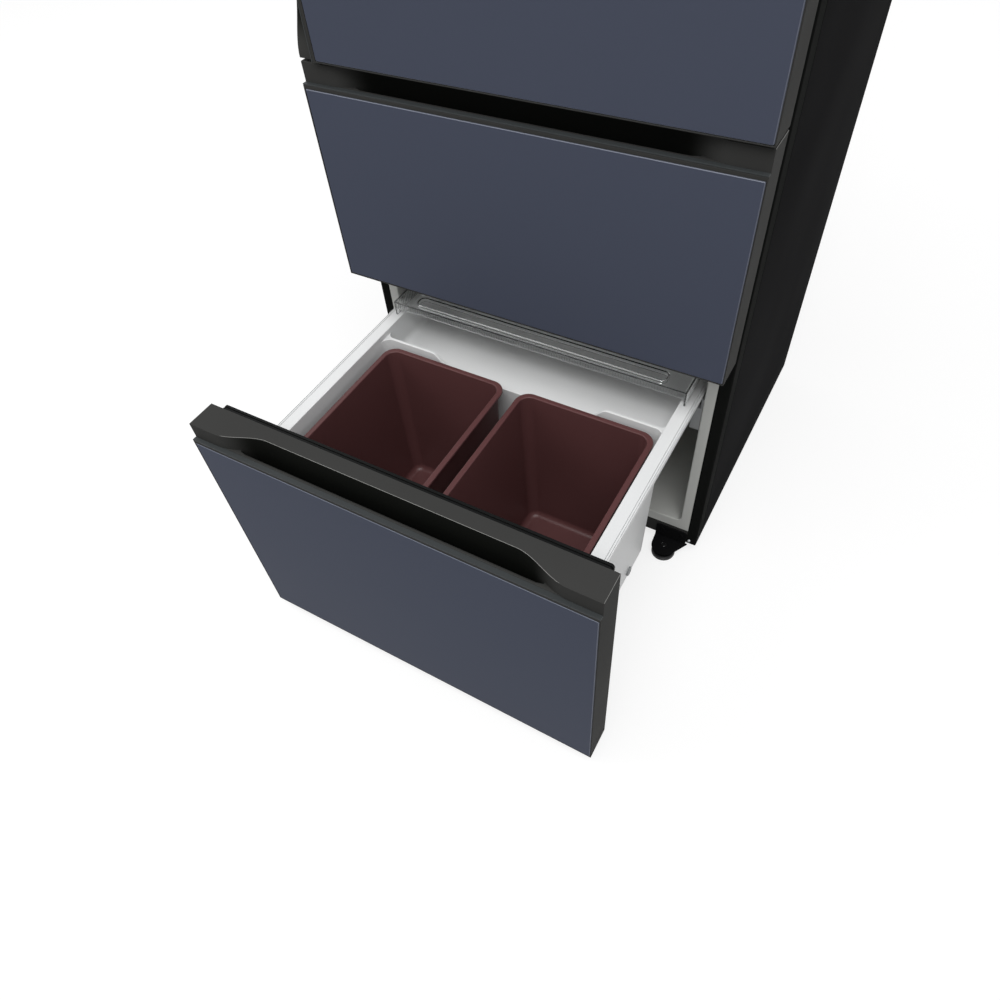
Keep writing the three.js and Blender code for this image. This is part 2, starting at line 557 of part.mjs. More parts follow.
// Steel bracket: a tab on the front bar and a plate with a round nose that the foot screws into.
function footBracket(side) {
	const left = Math.atan2(-FIT - FOOT_Y, BRACKET_INNER_X - FOOT_X);
	const reach = (px, py) => Math.acos(BRACKET_RADIUS / Math.hypot(px - FOOT_X, py - FOOT_Y));
	const start = left + reach(BRACKET_INNER_X, -FIT);
	const right = Math.atan2(-FIT - FOOT_Y, BRACKET_OUTER_X - FOOT_X);
	const end = right - reach(BRACKET_OUTER_X, -FIT) + 2 * Math.PI;
	const nose = Array.from({ length: 2 * ROUND_STEPS / 3 + 1 }, (_, i) => {
		const angle = start + ((end - start) * i) / (2 * ROUND_STEPS / 3);
		return [side * (FOOT_X + BRACKET_RADIUS * Math.cos(angle)), FOOT_Y + BRACKET_RADIUS * Math.sin(angle)];
	});
	const outline = [...nose, [side * BRACKET_OUTER_X, -FIT], [side * BRACKET_INNER_X, -FIT]];
	if (side < 0) outline.reverse();
	const plate = prism(outline, 'z', BRACKET_TOP - BRACKET_PLATE, BRACKET_TOP);
	const inner = side * BRACKET_INNER_X;
	const outer = side * Math.min(BRACKET_OUTER_X, FLANGE_HALF_WIDTH);
	const tab = block(Math.min(inner, outer), Math.max(inner, outer), -FIT - BRACKET_PLATE, -FIT,
		BRACKET_TOP - BRACKET_PLATE, BRACKET_TOP + TAB_HEIGHT);
	const hole = bar('z', side * FOOT_X, FOOT_Y, FOOT_STEM_RADIUS + FIT, 0, BRACKET_TOP + 1);
	return cut(join(plate, tab), hole);
}

function levellingFoot(side) {
	const x = side * FOOT_X;
	const neckTop = BRACKET_TOP - BRACKET_PLATE - FIT;
	return join(
		bar('z', x, FOOT_Y, FOOT_RADIUS, 0, FOOT_HEIGHT),
		bar('z', x, FOOT_Y, FOOT_NECK_RADIUS, FOOT_HEIGHT / 2, neckTop),
		bar('z', x, FOOT_Y, FOOT_STEM_RADIUS, FOOT_HEIGHT / 2, BRACKET_TOP + 2 * FIT));
}

function rearRoller(side) {
	const x = side * WHEEL_X;
	const tread = bar('x', WHEEL_Y, WHEEL_RADIUS, WHEEL_RADIUS, x - WHEEL_WIDTH / 2, x + WHEEL_WIDTH / 2);
	return tread.subtract(bar('x', WHEEL_Y, WHEEL_RADIUS, PIN_RADIUS + FIT, x - WHEEL_WIDTH, x + WHEEL_WIDTH));
}

const SIDES = { left: -1, right: 1 };

for (const [name, side] of Object.entries(SIDES)) {
	add(`foot_bracket_${name}`, footBracket(side), BLACK_STEEL);
	add(`levelling_foot_${name}`, levellingFoot(side), BLACK_PLASTIC);
	add(`rear_roller_${name}`, rearRoller(side), BLACK_PLASTIC);
}

// ---- Machine room ---------------------------------------------------------------------------------------

const ROOM_FLOOR = CASE_BOTTOM + SHEET + FIT;
const ROOM_MIDDLE_Y = (MACHINE_ROOM_FRONT + REAR_INNER) / 2;
const FAN = { x: 0, radius: FAN_RADIUS, hub: 18, blades: 5, width: FAN_WIDTH, shaft: 3, z: ROOM_FLOOR + 110 };
const COMPRESSOR = {
	x: COMPRESSOR_INSET - HALF, radius: COMPRESSOR_RADIUS, height: COMPRESSOR_HEIGHT,
	foot: COMPRESSOR_PLATE / 2, plate: 3, lift: COMPRESSOR_LIFT,
};

function compressor() {
	const { x, radius, height, foot, plate, lift } = COMPRESSOR;
	const profile = [[0, lift], [radius * 0.8, lift], [radius, lift + COMPRESSOR_BASE],
		[radius, height - COMPRESSOR_DOME],
		[radius * 0.8, height - 6], [radius * 0.35, height], [0, height]];
	const shell = new THREE.LatheGeometry(profile.map(([r, z]) => new THREE.Vector2(r, z)), ROUND_STEPS);
	shell.rotateX(Math.PI / 2);
	shell.translate(x, ROOM_MIDDLE_Y, ROOM_FLOOR);
	const sole = block(x - foot, x + foot, ROOM_MIDDLE_Y - foot * 0.7, ROOM_MIDDLE_Y + foot * 0.7,
		ROOM_FLOOR + lift - plate, ROOM_FLOOR + lift + 1);
	const feet = [[-1, -1], [1, -1], [1, 1], [-1, 1]].map(([i, j]) => bar(
		'z', x + i * (foot - 16), ROOM_MIDDLE_Y + j * (foot * 0.7 - 16), 10, ROOM_FLOOR, ROOM_FLOOR + lift - 1, 12));
	return join(solid(shell), sole, ...feet);
}

const PAN = {
	x0: FAN.x + FAN.width + FAN_PAN_GAP, x1: HALF - PAN_INSET,
	y0: MACHINE_ROOM_FRONT + PAN_FRONT_GAP, y1: REAR_INNER - PAN_REAR_GAP, height: PAN_HEIGHT, wall: 2,
};

function drainPan() {
	const { x0, x1, y0, y1, height, wall } = PAN;
	const level = (z, inset) => ({ z, x0: x0 + inset, x1: x1 - inset, y0: y0 + inset, y1: y1 - inset, radius: 8 });
	const outside = loft([level(ROOM_FLOOR, 3), level(ROOM_FLOOR + height, 0)]);
	const inside = loft([level(ROOM_FLOOR + wall, 3 + wall), level(ROOM_FLOOR + height + 1, wall)]);
	return outside.subtract(inside);
}

// A block of fins on two end plates that stand in the pan.
function condenser() {
	const x0 = PAN.x0 + 14;
	const x1 = PAN.x1 - 14;
	const y0 = PAN.y0 + 18;
	const y1 = PAN.y1 - 18;
	const bottom = ROOM_FLOOR + PAN.wall + FIT;
	const top = bottom + CONDENSER_HEIGHT;
	const fins = 9;
	const pitch = (x1 - x0 - 2) / (fins - 1);
	const plates = Array.from({ length: fins }, (_, i) => {
		const end = i === 0 || i === fins - 1;
		return block(x0 + i * pitch, x0 + i * pitch + 2, y0, y1, end ? bottom : bottom + 24, top);
	});
	const tubes = Array.from({ length: 3 }, (_, i) => bar(
		'x', (y0 + y1) / 2, bottom + 50 + i * 50, 5, x0 + 1, x1 - 1, 6));
	return join(...plates, ...tubes);
}

function condenserFan() {
	const hub = bar('x', ROOM_MIDDLE_Y, FAN.z, FAN.hub, FAN.x, FAN.x + FAN.width);
	const blades = Array.from({ length: FAN.blades }, (_, i) => {
		const blade = new THREE.BoxGeometry(3, 30, FAN.radius - FAN.hub / 2);
		blade.translate(0, 0, (FAN.radius + FAN.hub / 2) / 2);
		blade.rotateZ(0.7);
		blade.rotateX((2 * Math.PI * i) / FAN.blades);
		blade.translate(FAN.x + FAN.width / 2, ROOM_MIDDLE_Y, FAN.z);
		return solid(blade);
	});
	const bore = bar('x', ROOM_MIDDLE_Y, FAN.z, FAN.shaft + FIT, FAN.x - 1, FAN.x + FAN.width * 0.6);
	return cut(join(hub, ...blades), bore);
}

function fanMotor() {
	const back = FAN.x - 4;
	const body = bar('x', ROOM_MIDDLE_Y, FAN.z, 22, back - 34, back);
	const shaft = bar('x', ROOM_MIDDLE_Y, FAN.z, FAN.shaft, back - 10, FAN.x + FAN.width * 0.5, 12);
	const post = block(back - 26, back - 14, ROOM_MIDDLE_Y - 30, ROOM_MIDDLE_Y + 30, ROOM_FLOOR, FAN.z);
	return join(body, shaft, post);
}

add('compressor', compressor(), BLACK_STEEL);
add('drain_pan', drainPan(), BLACK_PLASTIC);
add('condenser', condenser(), ALUMINIUM);
add('condenser_fan', condenserFan(), BLACK_PLASTIC);
add('fan_motor', fanMotor(), ZINC);

// ---- Upper compartment ----------------------------------------------------------------------------------

function airDuctCover() {
	const half = OPENING_HALF_WIDTH - FIT;
	const plate = prism(roundedOutline(-half, half, UPPER_FLOOR + FIT, UPPER_CEILING - FIT, OPENING_RADIUS),
		'y', DUCT_FRONT, DUCT_FRONT + DUCT_THICKNESS);
	const pitch = (UPPER_CEILING - UPPER_FLOOR - 160) / DUCT_SLOTS;
	const slots = Array.from({ length: DUCT_SLOTS }, (_, i) => {
		const z = UPPER_FLOOR + 120 + i * pitch;
		return block(DUCT_SLOT_INSET - OPENING_HALF_WIDTH, OPENING_HALF_WIDTH - DUCT_SLOT_INSET, DUCT_FRONT - 1,
			DUCT_FRONT + DUCT_THICKNESS + 1, z, z + DUCT_SLOT_HEIGHT);
	});
	return cut(plate, ...slots);
}

// Finned evaporator behind the duct cover.
function upperEvaporator() {
	const bottom = UPPER_FLOOR + 90;
	const height = 260;
	const back = LINER_DEPTH - FIT;
	const front = DUCT_FRONT + DUCT_THICKNESS + 14;
	const half = OPENING_HALF_WIDTH - FIN_INSET;
	const fin = 2;
	const pitch = (2 * half - fin) / 8;
	const fins = Array.from({ length: 9 }, (_, i) => block(
		-half + i * pitch, -half + i * pitch + fin, front, back, bottom, bottom + height));
	const tubes = Array.from({ length: 2 }, (_, i) => bar(
		'x', (front + back) / 2, bottom + 70 + i * 110, 5, fin / 2 - half, half - fin / 2, 6));
	return join(...fins, ...tubes);
}

function glassShelf(z) {
	const half = OPENING_HALF_WIDTH - 2;
	return prism(roundedOutline(-half, half, SHELF_FRONT, DUCT_FRONT - 2, 6), 'z', z, z + SHELF_THICKNESS);
}

function controlPanel() {
	const half = OPENING_HALF_WIDTH - PANEL_INSET;
	const top = UPPER_CEILING - FIT;
	return prism(roundedOutline(-half, half, PANEL_FRONT, PANEL_FRONT + PANEL_DEPTH, 8), 'z',
		top - PANEL_THICKNESS, top);
}

add('air_duct_cover', airDuctCover(), WHITE_PLASTIC);
add('upper_evaporator', upperEvaporator(), ALUMINIUM);
add('shelf_upper', glassShelf(SHELF_HEIGHTS.upper), SHELF_GLASS);
add('shelf_lower', glassShelf(SHELF_HEIGHTS.lower), SHELF_GLASS);
add('control_panel', controlPanel(), BLACK_PLASTIC);

// ---- Fronts ---------------------------------------------------------------------------------------------

// Half-curve of the grip's face along the front, as [distance from its middle, setback behind the glass].
function gripSetback(distance) {
	const t = (distance - GRIP_HALF_FLAT) / (GRIP_HALF_LENGTH - GRIP_HALF_FLAT);
	return GRIP_SETBACK + (CAP_SETBACK - GRIP_SETBACK) * ease(THREE.MathUtils.clamp(t, 0, 1));
}

const GRIP_POINTS = Array.from({ length: 9 }, (_, i) => (
	GRIP_HALF_FLAT + ((GRIP_HALF_LENGTH - GRIP_HALF_FLAT) * i) / 8));

// The frame of a front whose cap runs along its top: face at y = 0, back at y = FRONT_THICKNESS.
function frontFrame(half, bottom, top, shift) {
	const face = [...GRIP_POINTS].reverse().map((d) => [shift - d, gripSetback(d)]);
	const otherFace = GRIP_POINTS.map((d) => [shift + d, gripSetback(d)]);
	const capOutline = [[-half - 1, -1], [half + 1, -1], [half + 1, CAP_SETBACK],
		...otherFace.reverse(), ...face.reverse(), [-half - 1, CAP_SETBACK]];
	const overLip = prism(capOutline, 'z', top - LIP_DROP, top + 1);
	const inside = GRIP_POINTS.filter((d) => gripSetback(d) > GRIP_LIP + 1);
	const pocketOutline = [
		[shift - inside.at(-1), GRIP_LIP], [shift + inside.at(-1), GRIP_LIP],
		...inside.map((d) => [shift + d, gripSetback(d)]).reverse(),
		...inside.map((d) => [shift - d, gripSetback(d)])];
	const pocket = prism(pocketOutline, 'z', top - GRIP_DEPTH, top);
	const seat = glassSize(half, bottom, top);
	const glassPocket = block(-seat.half - FIT, seat.half + FIT, -1, GLASS_THICKNESS + FIT,
		seat.bottom - FIT, seat.top + FIT);
	return cut(block(-half, half, 0, FRONT_THICKNESS, bottom, top), overLip, pocket, glassPocket);
}

function glassSize(half, bottom, top) {
	return { half: half - GLASS_BORDER, bottom: bottom + GLASS_BORDER, top: top - GLASS_DROP };
}

function glassPanel(half, bottom, top) {
	const seat = glassSize(half, bottom, top);
	return block(-seat.half, seat.half, 0, GLASS_THICKNESS, seat.bottom, seat.top);
}

// Soft seal: a frame between the back of a front and the cabinet. y = 0 is the back of the front.
const SEAL_THICKNESS = FRONT_GAP - 2 * FIT;

function gasket(half, bottom, top) {
	const ring = (inset) => roundedOutline(-half + inset, half - inset, bottom + inset, top - inset, 6);
	return prism(ring(0), 'y', FIT, FIT + SEAL_THICKNESS)
		.subtract(prism(ring(GASKET_WIDTH), 'y', 0, FRONT_GAP));
}

// Inner panel: a plate inside the seal and a plug that reaches into the compartment.
function innerPanel(gasketHalf, gasketBottom, gasketTop, floor, ceiling) {
	const inset = GASKET_WIDTH + FIT;
	const plate = prism(roundedOutline(-gasketHalf + inset, gasketHalf - inset, gasketBottom + inset,
		gasketTop - inset, 6), 'y', FIT, FRONT_GAP - FIT);
	const half = OPENING_HALF_WIDTH - PLUG_CLEARANCE;
	const plug = prism(roundedOutline(-half, half, floor + PLUG_GAP, ceiling - PLUG_GAP, 14),
		'y', FRONT_GAP / 2, PLUG_DEPTH);
	return join(plate, plug);
}

// ---- Drawers --------------------------------------------------------------------------------------------

const GASKET_HALF = HALF - GASKET_INSET;

// Rib between the deep part and the rear shelf of the lower basket: low in the middle, high at the sides.
function ribCutter(rimTop, y0, y1) {
	const steps = 6;
	const line = Array.from({ length: steps + 1 }, (_, i) => {
		const t = i / steps;
		return [RIB_MIDDLE_END + t * (RIB_SIDE_START - RIB_MIDDLE_END),
			rimTop - RIB_MIDDLE_DROP + ease(t) * (RIB_MIDDLE_DROP - RIB_SIDE_DROP)];
	});
	const end = BASKET_HALF_TOP - BASKET_WALL;
	const right = [...line, [end, rimTop - RIB_SIDE_DROP]];
	const outline = [...right.map(([x, z]) => [-x, z]).reverse(), ...right, [end, rimTop + 1], [-end, rimTop + 1]];
	return prism(outline, 'y', y0, y1);
}

function basket({ floor, top, open, name }) {
	const rimTop = top - RIM_DROP;
	const bottom = floor + BASKET_GAP;
	const w = BASKET_WALL;
	const front = PLUG_DEPTH - FRONT_GAP - open + FIT;
	const back = BASKET_BACK - open;
	const stepped = name === 'lower';
	const deepBack = stepped ? DEEP_BACK - open : back;
	const lean = stepped ? DEEP_LEAN : 0;
	const rise = (z) => (z - bottom) / (rimTop - bottom);
	const level = (z, inset) => {
		const half = BASKET_HALF_BOTTOM + rise(z) * (BASKET_HALF_TOP - BASKET_HALF_BOTTOM) - inset;
		return { z, x0: -half, x1: half, y0: front + inset, y1: deepBack - inset - (1 - rise(z)) * lean,
			radius: BASKET_RADIUS - inset };
	};
	const outside = [loft([level(bottom, 0), level(rimTop, 0)])];
	const inside = [loft([level(bottom + w, w), level(rimTop + 1, w)])];
	const rims = [-1, 1].map((side) => {
		const inner = side * (BASKET_HALF_TOP - w / 2);
		const outer = side * RIM_HALF_WIDTH;
		return block(Math.min(inner, outer), Math.max(inner, outer), front, back, rimTop - RIM_HEIGHT, rimTop);
	});
	if (stepped) {
		const shelf = STEP_FLOOR + SHELF_RISE;
		outside.push(block(-BASKET_HALF_TOP, BASKET_HALF_TOP, deepBack - RIB_THICKNESS, back, shelf, rimTop));
		inside.push(block(-BASKET_HALF_TOP + w, BASKET_HALF_TOP - w, deepBack + RIB_THICKNESS - w, back - w,
			shelf + w, rimTop + 1));
		inside.push(ribCutter(rimTop, deepBack - 2 * RIB_THICKNESS, deepBack + RIB_THICKNESS));
	}
	const shoeTop = rimTop - RIM_HEIGHT - BRACKET_DROP + SHOE_HEIGHT;
	const shoes = [-1, 1].map((side) => {
		const inner = side * (BASKET_HALF_TOP - w);
		const outer = side * (OPENING_HALF_WIDTH - FIT - CHANNEL_WEB - 1);
		return block(Math.min(inner, outer), Math.max(inner, outer), back - SHOE_LENGTH - 4, back - 4,
			shoeTop - SHOE_HEIGHT, shoeTop);
	});
	const whole = join(outside[0], ...outside.slice(1), ...rims, ...shoes);
	return cut(whole, ...inside);
}

// Rail on the lining: a roller bracket at its mouth and a channel for the basket's shoe behind it.
const BRACKET_DROP = 38; // underside of the rim down to the inside of the channel's lower ledge
const ROLLER_Y = RAIL_START + ROLLER_INSET;

function rail(side, rimBottom) {
	const outer = OPENING_HALF_WIDTH - FIT;
	const place = (depth0, depth1, y0, y1, z0, z1) => (side > 0
		? block(outer - depth1, outer - depth0, y0, y1, z0, z1)
		: block(-outer + depth0, -outer + depth1, y0, y1, z0, z1));
	const rollerZ = rimBottom - FIT - ROLLER_RADIUS;
	const bracketTop = rollerZ - ROLLER_RADIUS - 2;
	const ledge = rimBottom - BRACKET_DROP - FIT;
	const channelTop = ledge + SHOE_HEIGHT + 2 * FIT;
	const channelStart = RAIL_START + BRACKET_LENGTH;
	const bracket = place(0, BRACKET_WIDTH, RAIL_START, channelStart, bracketTop - BRACKET_HEIGHT, bracketTop);
	const cheek = place(0, CHEEK_WIDTH, ROLLER_Y - ROLLER_RADIUS, ROLLER_Y + ROLLER_RADIUS,
		bracketTop - 1, rollerZ + 8);
	const web = place(0, CHANNEL_WEB, RAIL_START + 1, CHANNEL_END, ledge - CHANNEL_LEDGE,
		channelTop + CHANNEL_LEDGE);
	const ledges = [ledge - CHANNEL_LEDGE, channelTop].map((z) => place(
		0, CHANNEL_WIDTH, channelStart - 1, CHANNEL_END, z, z + CHANNEL_LEDGE));
	const pinStart = outer - BRACKET_WIDTH + 1;
	const pin = side > 0
		? bar('x', ROLLER_Y, rollerZ, PIN_RADIUS, pinStart, outer - 1, 12)
		: bar('x', ROLLER_Y, rollerZ, PIN_RADIUS, -outer + 1, -pinStart, 12);
	return join(bracket, cheek, web, ...ledges, pin);
}

function guideRoller(side, rimBottom) {
	const rollerZ = rimBottom - FIT - ROLLER_RADIUS;
	const outer = OPENING_HALF_WIDTH - FIT - CHEEK_WIDTH - 1;
	const x0 = side > 0 ? outer - ROLLER_WIDTH : -outer;
	const tread = bar('x', ROLLER_Y, rollerZ, ROLLER_RADIUS, x0, x0 + ROLLER_WIDTH);
	return tread.subtract(bar('x', ROLLER_Y, rollerZ, PIN_RADIUS + FIT, x0 - 1, x0 + ROLLER_WIDTH + 1, 12));
}

for (const drawer of [MIDDLE, LOWER]) {
	const { name, bottom, top, open, floor, ceiling, gasketBottom } = drawer;
	const back = -FRONT_GAP - open; // back of this drawer's front
	const face = back - FRONT_THICKNESS;
	const gasketTop = top - GASKET_MARGIN;
	add(`${name}_drawer_front`, frontFrame(HALF, bottom, top, 0).translate([0, face, 0]), CHARCOAL);
	add(`${name}_drawer_glass`, glassPanel(HALF, bottom, top).translate([0, face, 0]), SLATE_GLASS);
	add(`${name}_drawer_gasket`, gasket(GASKET_HALF, gasketBottom, gasketTop).translate([0, back, 0]), RUBBER);
	add(`${name}_drawer_inner_panel`,
		innerPanel(GASKET_HALF, gasketBottom, gasketTop, floor, ceiling).translate([0, back, 0]), WHITE_PLASTIC);
	add(`${name}_basket`, basket(drawer), WHITE_PLASTIC);
	for (const [sideName, side] of Object.entries(SIDES)) {
		const rimBottom = top - RIM_DROP - RIM_HEIGHT;
		add(`${name}_rail_${sideName}`, rail(side, rimBottom), GREY_PLASTIC);
		add(`${name}_roller_${sideName}`, guideRoller(side, rimBottom), BLACK_PLASTIC);
	}
}

// Clear cover: a plate on two side flanges that slide on the basket's rims, with a long finger slot.
function slidingCover() {
	const z0 = LOWER.top - RIM_DROP + FIT;
	const z1 = z0 + COVER_HEIGHT;
	const t = COVER_THICKNESS;
	const half = COVER_HALF_WIDTH;
	const y0 = COVER_FRONT - DRAWER_TRAVEL;
	const section = [[-half, z0], [-half + t, z0], [-half + t, z1 - t], [half - t, z1 - t], [half - t, z0],
		[half, z0], [half, z1], [-half, z1]];
	const slot = roundedOutline(-SLOT_HALF_LENGTH, SLOT_HALF_LENGTH, y0 + SLOT_INSET,
		y0 + SLOT_INSET + SLOT_WIDTH, SLOT_RADIUS);
	return prism(section, 'y', y0, y0 + COVER_LENGTH).subtract(prism(slot, 'z', z0, z1 + 1));
}

// A tub with a flat rim, tapered walls and rounded corners.
function tub(x0, x1, y0, y1, bottom, top) {
	const level = (z, inset, radius) => ({
		z, x0: x0 + inset, x1: x1 - inset, y0: y0 + inset, y1: y1 - inset, radius });
	const body = loft([level(bottom, TUB_RIM + TUB_TAPER, TUB_RADIUS), level(top, TUB_RIM, TUB_RADIUS)]);
	const rim = loft([level(top - TUB_RIM_HEIGHT, 0, TUB_RADIUS), level(top, 0, TUB_RADIUS)]);
	const wall = TUB_RIM + TUB_WALL;
	const inside = loft([level(bottom + TUB_WALL, wall + TUB_TAPER, TUB_RADIUS - TUB_WALL),
		level(top + 1, wall, TUB_RADIUS - TUB_WALL)]);
	return cut(join(body, rim), inside);
}

const TUB_TOP = LOWER.top - RIM_DROP - TUB_DROP;
const TUB_BOTTOM = LOWER_FLOOR + BASKET_GAP + BASKET_WALL + FIT;
const TUB_Y1 = TUB_BACK - DRAWER_TRAVEL;
const BOX_BOTTOM = MIDDLE_FLOOR + BASKET_GAP + BASKET_WALL + FIT;
const BOX_TOP = BOX_BOTTOM + BOX_HEIGHT;

function boxLid() {
	const level = (z, inset) => ({ z, x0: -BOX_WIDTH / 2 - inset, x1: BOX_WIDTH / 2 + inset,
		y0: BOX_FRONT - inset, y1: BOX_FRONT + BOX_LENGTH + inset, radius: TUB_RADIUS });
	return loft([level(BOX_TOP + FIT, 0), level(BOX_TOP + FIT + LID_THICKNESS * 0.6, 0),
		level(BOX_TOP + FIT + LID_THICKNESS, -4)]);
}

add('lower_sliding_cover', slidingCover(), CLEAR_PLASTIC);
add('lower_container_left',
	tub(TUB_SHIFT - TUB_SPACING / 2 - TUB_WIDTH, TUB_SHIFT - TUB_SPACING / 2,
		TUB_Y1 - TUB_LENGTH, TUB_Y1, TUB_BOTTOM, TUB_TOP),
	MAROON_PLASTIC);
add('lower_container_right',
	tub(TUB_SHIFT + TUB_SPACING / 2, TUB_SHIFT + TUB_SPACING / 2 + TUB_WIDTH,
		TUB_Y1 - TUB_LENGTH, TUB_Y1, TUB_BOTTOM, TUB_TOP),
	MAROON_PLASTIC);
add('middle_container',
	tub(-BOX_WIDTH / 2, BOX_WIDTH / 2, BOX_FRONT, BOX_FRONT + BOX_LENGTH, BOX_BOTTOM, BOX_TOP), MAROON_PLASTIC);
add('middle_container_lid', boxLid(), MAROON_PLASTIC);

// ---- Upper door -----------------------------------------------------------------------------------------

const DOOR_MIDDLE = (DOOR_BOTTOM + DOOR_TOP) / 2;
const DOOR_HALF_HEIGHT = (DOOR_TOP - DOOR_BOTTOM) / 2;
const DOOR_GASKET = { bottom: DOOR_BOTTOM + GASKET_MARGIN, top: DOOR_TOP - GASKET_MARGIN };

// The door is made as a front with its cap along the top, then turned so that the cap is at its left.
function turnedFront(manifold) {
	return manifold.rotate([0, -90, 0]).translate([0, -FRONT_GAP - FRONT_THICKNESS, DOOR_MIDDLE]);
}

// A hinge pin's hole in the end of the door, direction pointing into the door.
function hingeSocket(end, direction) {
	const mouth = end - direction;
	const floor = end + direction * (HINGE_PIN_LENGTH + FIT);
	return bar('z', HINGE_X, -HINGE_FORWARD, HINGE_PIN_RADIUS + FIT, Math.min(mouth, floor), Math.max(mouth, floor));
}

function doorFrame() {
	const frame = turnedFront(frontFrame(DOOR_HALF_HEIGHT, -HALF, HALF, -DOOR_GRIP_SHIFT));
	return cut(frame, hingeSocket(DOOR_BOTTOM, 1), hingeSocket(DOOR_TOP, -1));
}

// Inner panel of the door with the ribs that its bins hang on.
function doorInnerLiner() {
	const panel = innerPanel(GASKET_HALF, DOOR_GASKET.bottom, DOOR_GASKET.top, UPPER_FLOOR, UPPER_CEILING);
	const half = BIN_HALF - BIN_HOOK_INSET;
	const hooks = Object.values(BIN_HEIGHTS).map((z) => block(
		-half, half, PLUG_DEPTH - 1, PLUG_DEPTH + HOOK.depth, z + HOOK.z0, z + HOOK.z1));
	return join(panel, ...hooks).translate([0, -FRONT_GAP, 0]);
}

// Each bin's back wall has a slot that drops over its rib on the door.
const HOOK = { depth: 6, z0: 60, z1: 80 };

function doorBin(z) {
	const y0 = PLUG_DEPTH - FRONT_GAP + FIT;
	const backWall = HOOK.depth + 3;
	const level = (height, inset, back) => ({ z: z + height, x0: -BIN_HALF + inset, x1: BIN_HALF - inset,
		y0: y0 + back, y1: y0 + BIN_DEPTH - inset, radius: 4 });
	const outside = loft([level(0, 5, 0), level(BIN_HEIGHT, 0, 0)]);
	const inside = loft([level(BIN_WALL, 5 + BIN_WALL, backWall), level(BIN_HEIGHT + 1, BIN_WALL, backWall)]);
	const slot = block(-BIN_HALF + BIN_HOOK_INSET - FIT, BIN_HALF - BIN_HOOK_INSET + FIT, y0 - 1, y0 + HOOK.depth, z - 1, z + HOOK.z1 + FIT);
	return cut(outside, inside, slot);
}

add('door_frame', doorFrame(), CHARCOAL);
add('door_glass', turnedFront(glassPanel(DOOR_HALF_HEIGHT, -HALF, HALF)), SLATE_GLASS);
add('door_gasket', gasket(GASKET_HALF, DOOR_GASKET.bottom, DOOR_GASKET.top).translate([0, -FRONT_GAP, 0]), RUBBER);
add('door_inner_liner', doorInnerLiner(), WHITE_PLASTIC);
add('door_bin_upper', doorBin(BIN_HEIGHTS.upper), CLEAR_PLASTIC);
add('door_bin_lower', doorBin(BIN_HEIGHTS.lower), CLEAR_PLASTIC);

// ---- Hinges ---------------------------------------------------------------------------------------------

const HINGE_ARM = { inner: HINGE_X - HINGE_ARM_WIDTH, outer: HALF - 4, nose: -HINGE_FORWARD - 12, back: 60, radius: 6 };
const HINGE_COVER_WALL = 1.5;

function topHinge() {
	const z0 = CASE_TOP + FIT;
	const plate = prism(roundedOutline(HINGE_ARM.inner, HINGE_ARM.outer, HINGE_ARM.nose, HINGE_ARM.back,
		HINGE_ARM.radius), 'z', z0, z0 + HINGE_PLATE);
	const pin = bar('z', HINGE_X, -HINGE_FORWARD, HINGE_PIN_RADIUS, DOOR_TOP - HINGE_PIN_LENGTH, z0 + 1);
	return join(plate, pin);
}

// Cover over the top hinge, open below, with its upper edges drawn in.
function topHingeCover() {
	const z0 = CASE_TOP + FIT;
	const top = CASE_TOP + HINGE_COVER_HEIGHT;
	const level = (z, grow) => ({ z, x0: HINGE_ARM.inner - grow, x1: HINGE_ARM.outer + grow,
		y0: HINGE_ARM.nose - grow, y1: HINGE_ARM.back + grow, radius: HINGE_ARM.radius + grow });
	const outer = FIT + HINGE_COVER_WALL;
	const outside = loft([level(z0, outer), level(top - 5, outer), level(top, outer - 3)]);
	const inside = loft([level(z0 - 1, FIT), level(top - 5, FIT), level(top - HINGE_COVER_WALL, FIT - 3)]);
	return outside.subtract(inside);
}

function middleHinge() {
	const gap = (REVEAL - HINGE_PLATE) / 2;
	const z0 = MIDDLE_FRONT_TOP + gap;
	const plate = prism(roundedOutline(HINGE_ARM.inner, HINGE_ARM.outer, HINGE_ARM.nose, -FIT, 4),
		'z', z0, z0 + HINGE_PLATE);
	const flange = block(GASKET_HALF + 1.5, HINGE_ARM.outer, -FIT - 3, -FIT, z0 - 14, z0 + 16);
	const pin = bar('z', HINGE_X, -HINGE_FORWARD, HINGE_PIN_RADIUS, z0 + 1, DOOR_BOTTOM + HINGE_PIN_LENGTH);
	return join(plate, flange, pin);
}

add('top_hinge', topHinge(), ZINC);
add('top_hinge_cover', topHingeCover(), BLACK_PLASTIC);
add('middle_hinge', middleHinge(), ZINC);

// The origin is on the floor, at the middle of the whole object as it stands with the lower drawer open.
group.position.y = -(REST_FRONT + CASE_DEPTH) / 2;

export default group;
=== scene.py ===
"""The looks of a kimchi refrigerator with its lower drawer open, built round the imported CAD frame.

Sizes in the classes are millimetres in the frame's own axes: +X to the right of someone facing it, +Y to its
back and +Z up from the floor. Meshes and the camera are in metres.
"""

import logging
import math
from collections.abc import Callable, Iterator, Sequence
from contextlib import contextmanager
from dataclasses import dataclass, replace
from enum import Enum

import bmesh
import bpy
from mathutils import Matrix, Vector


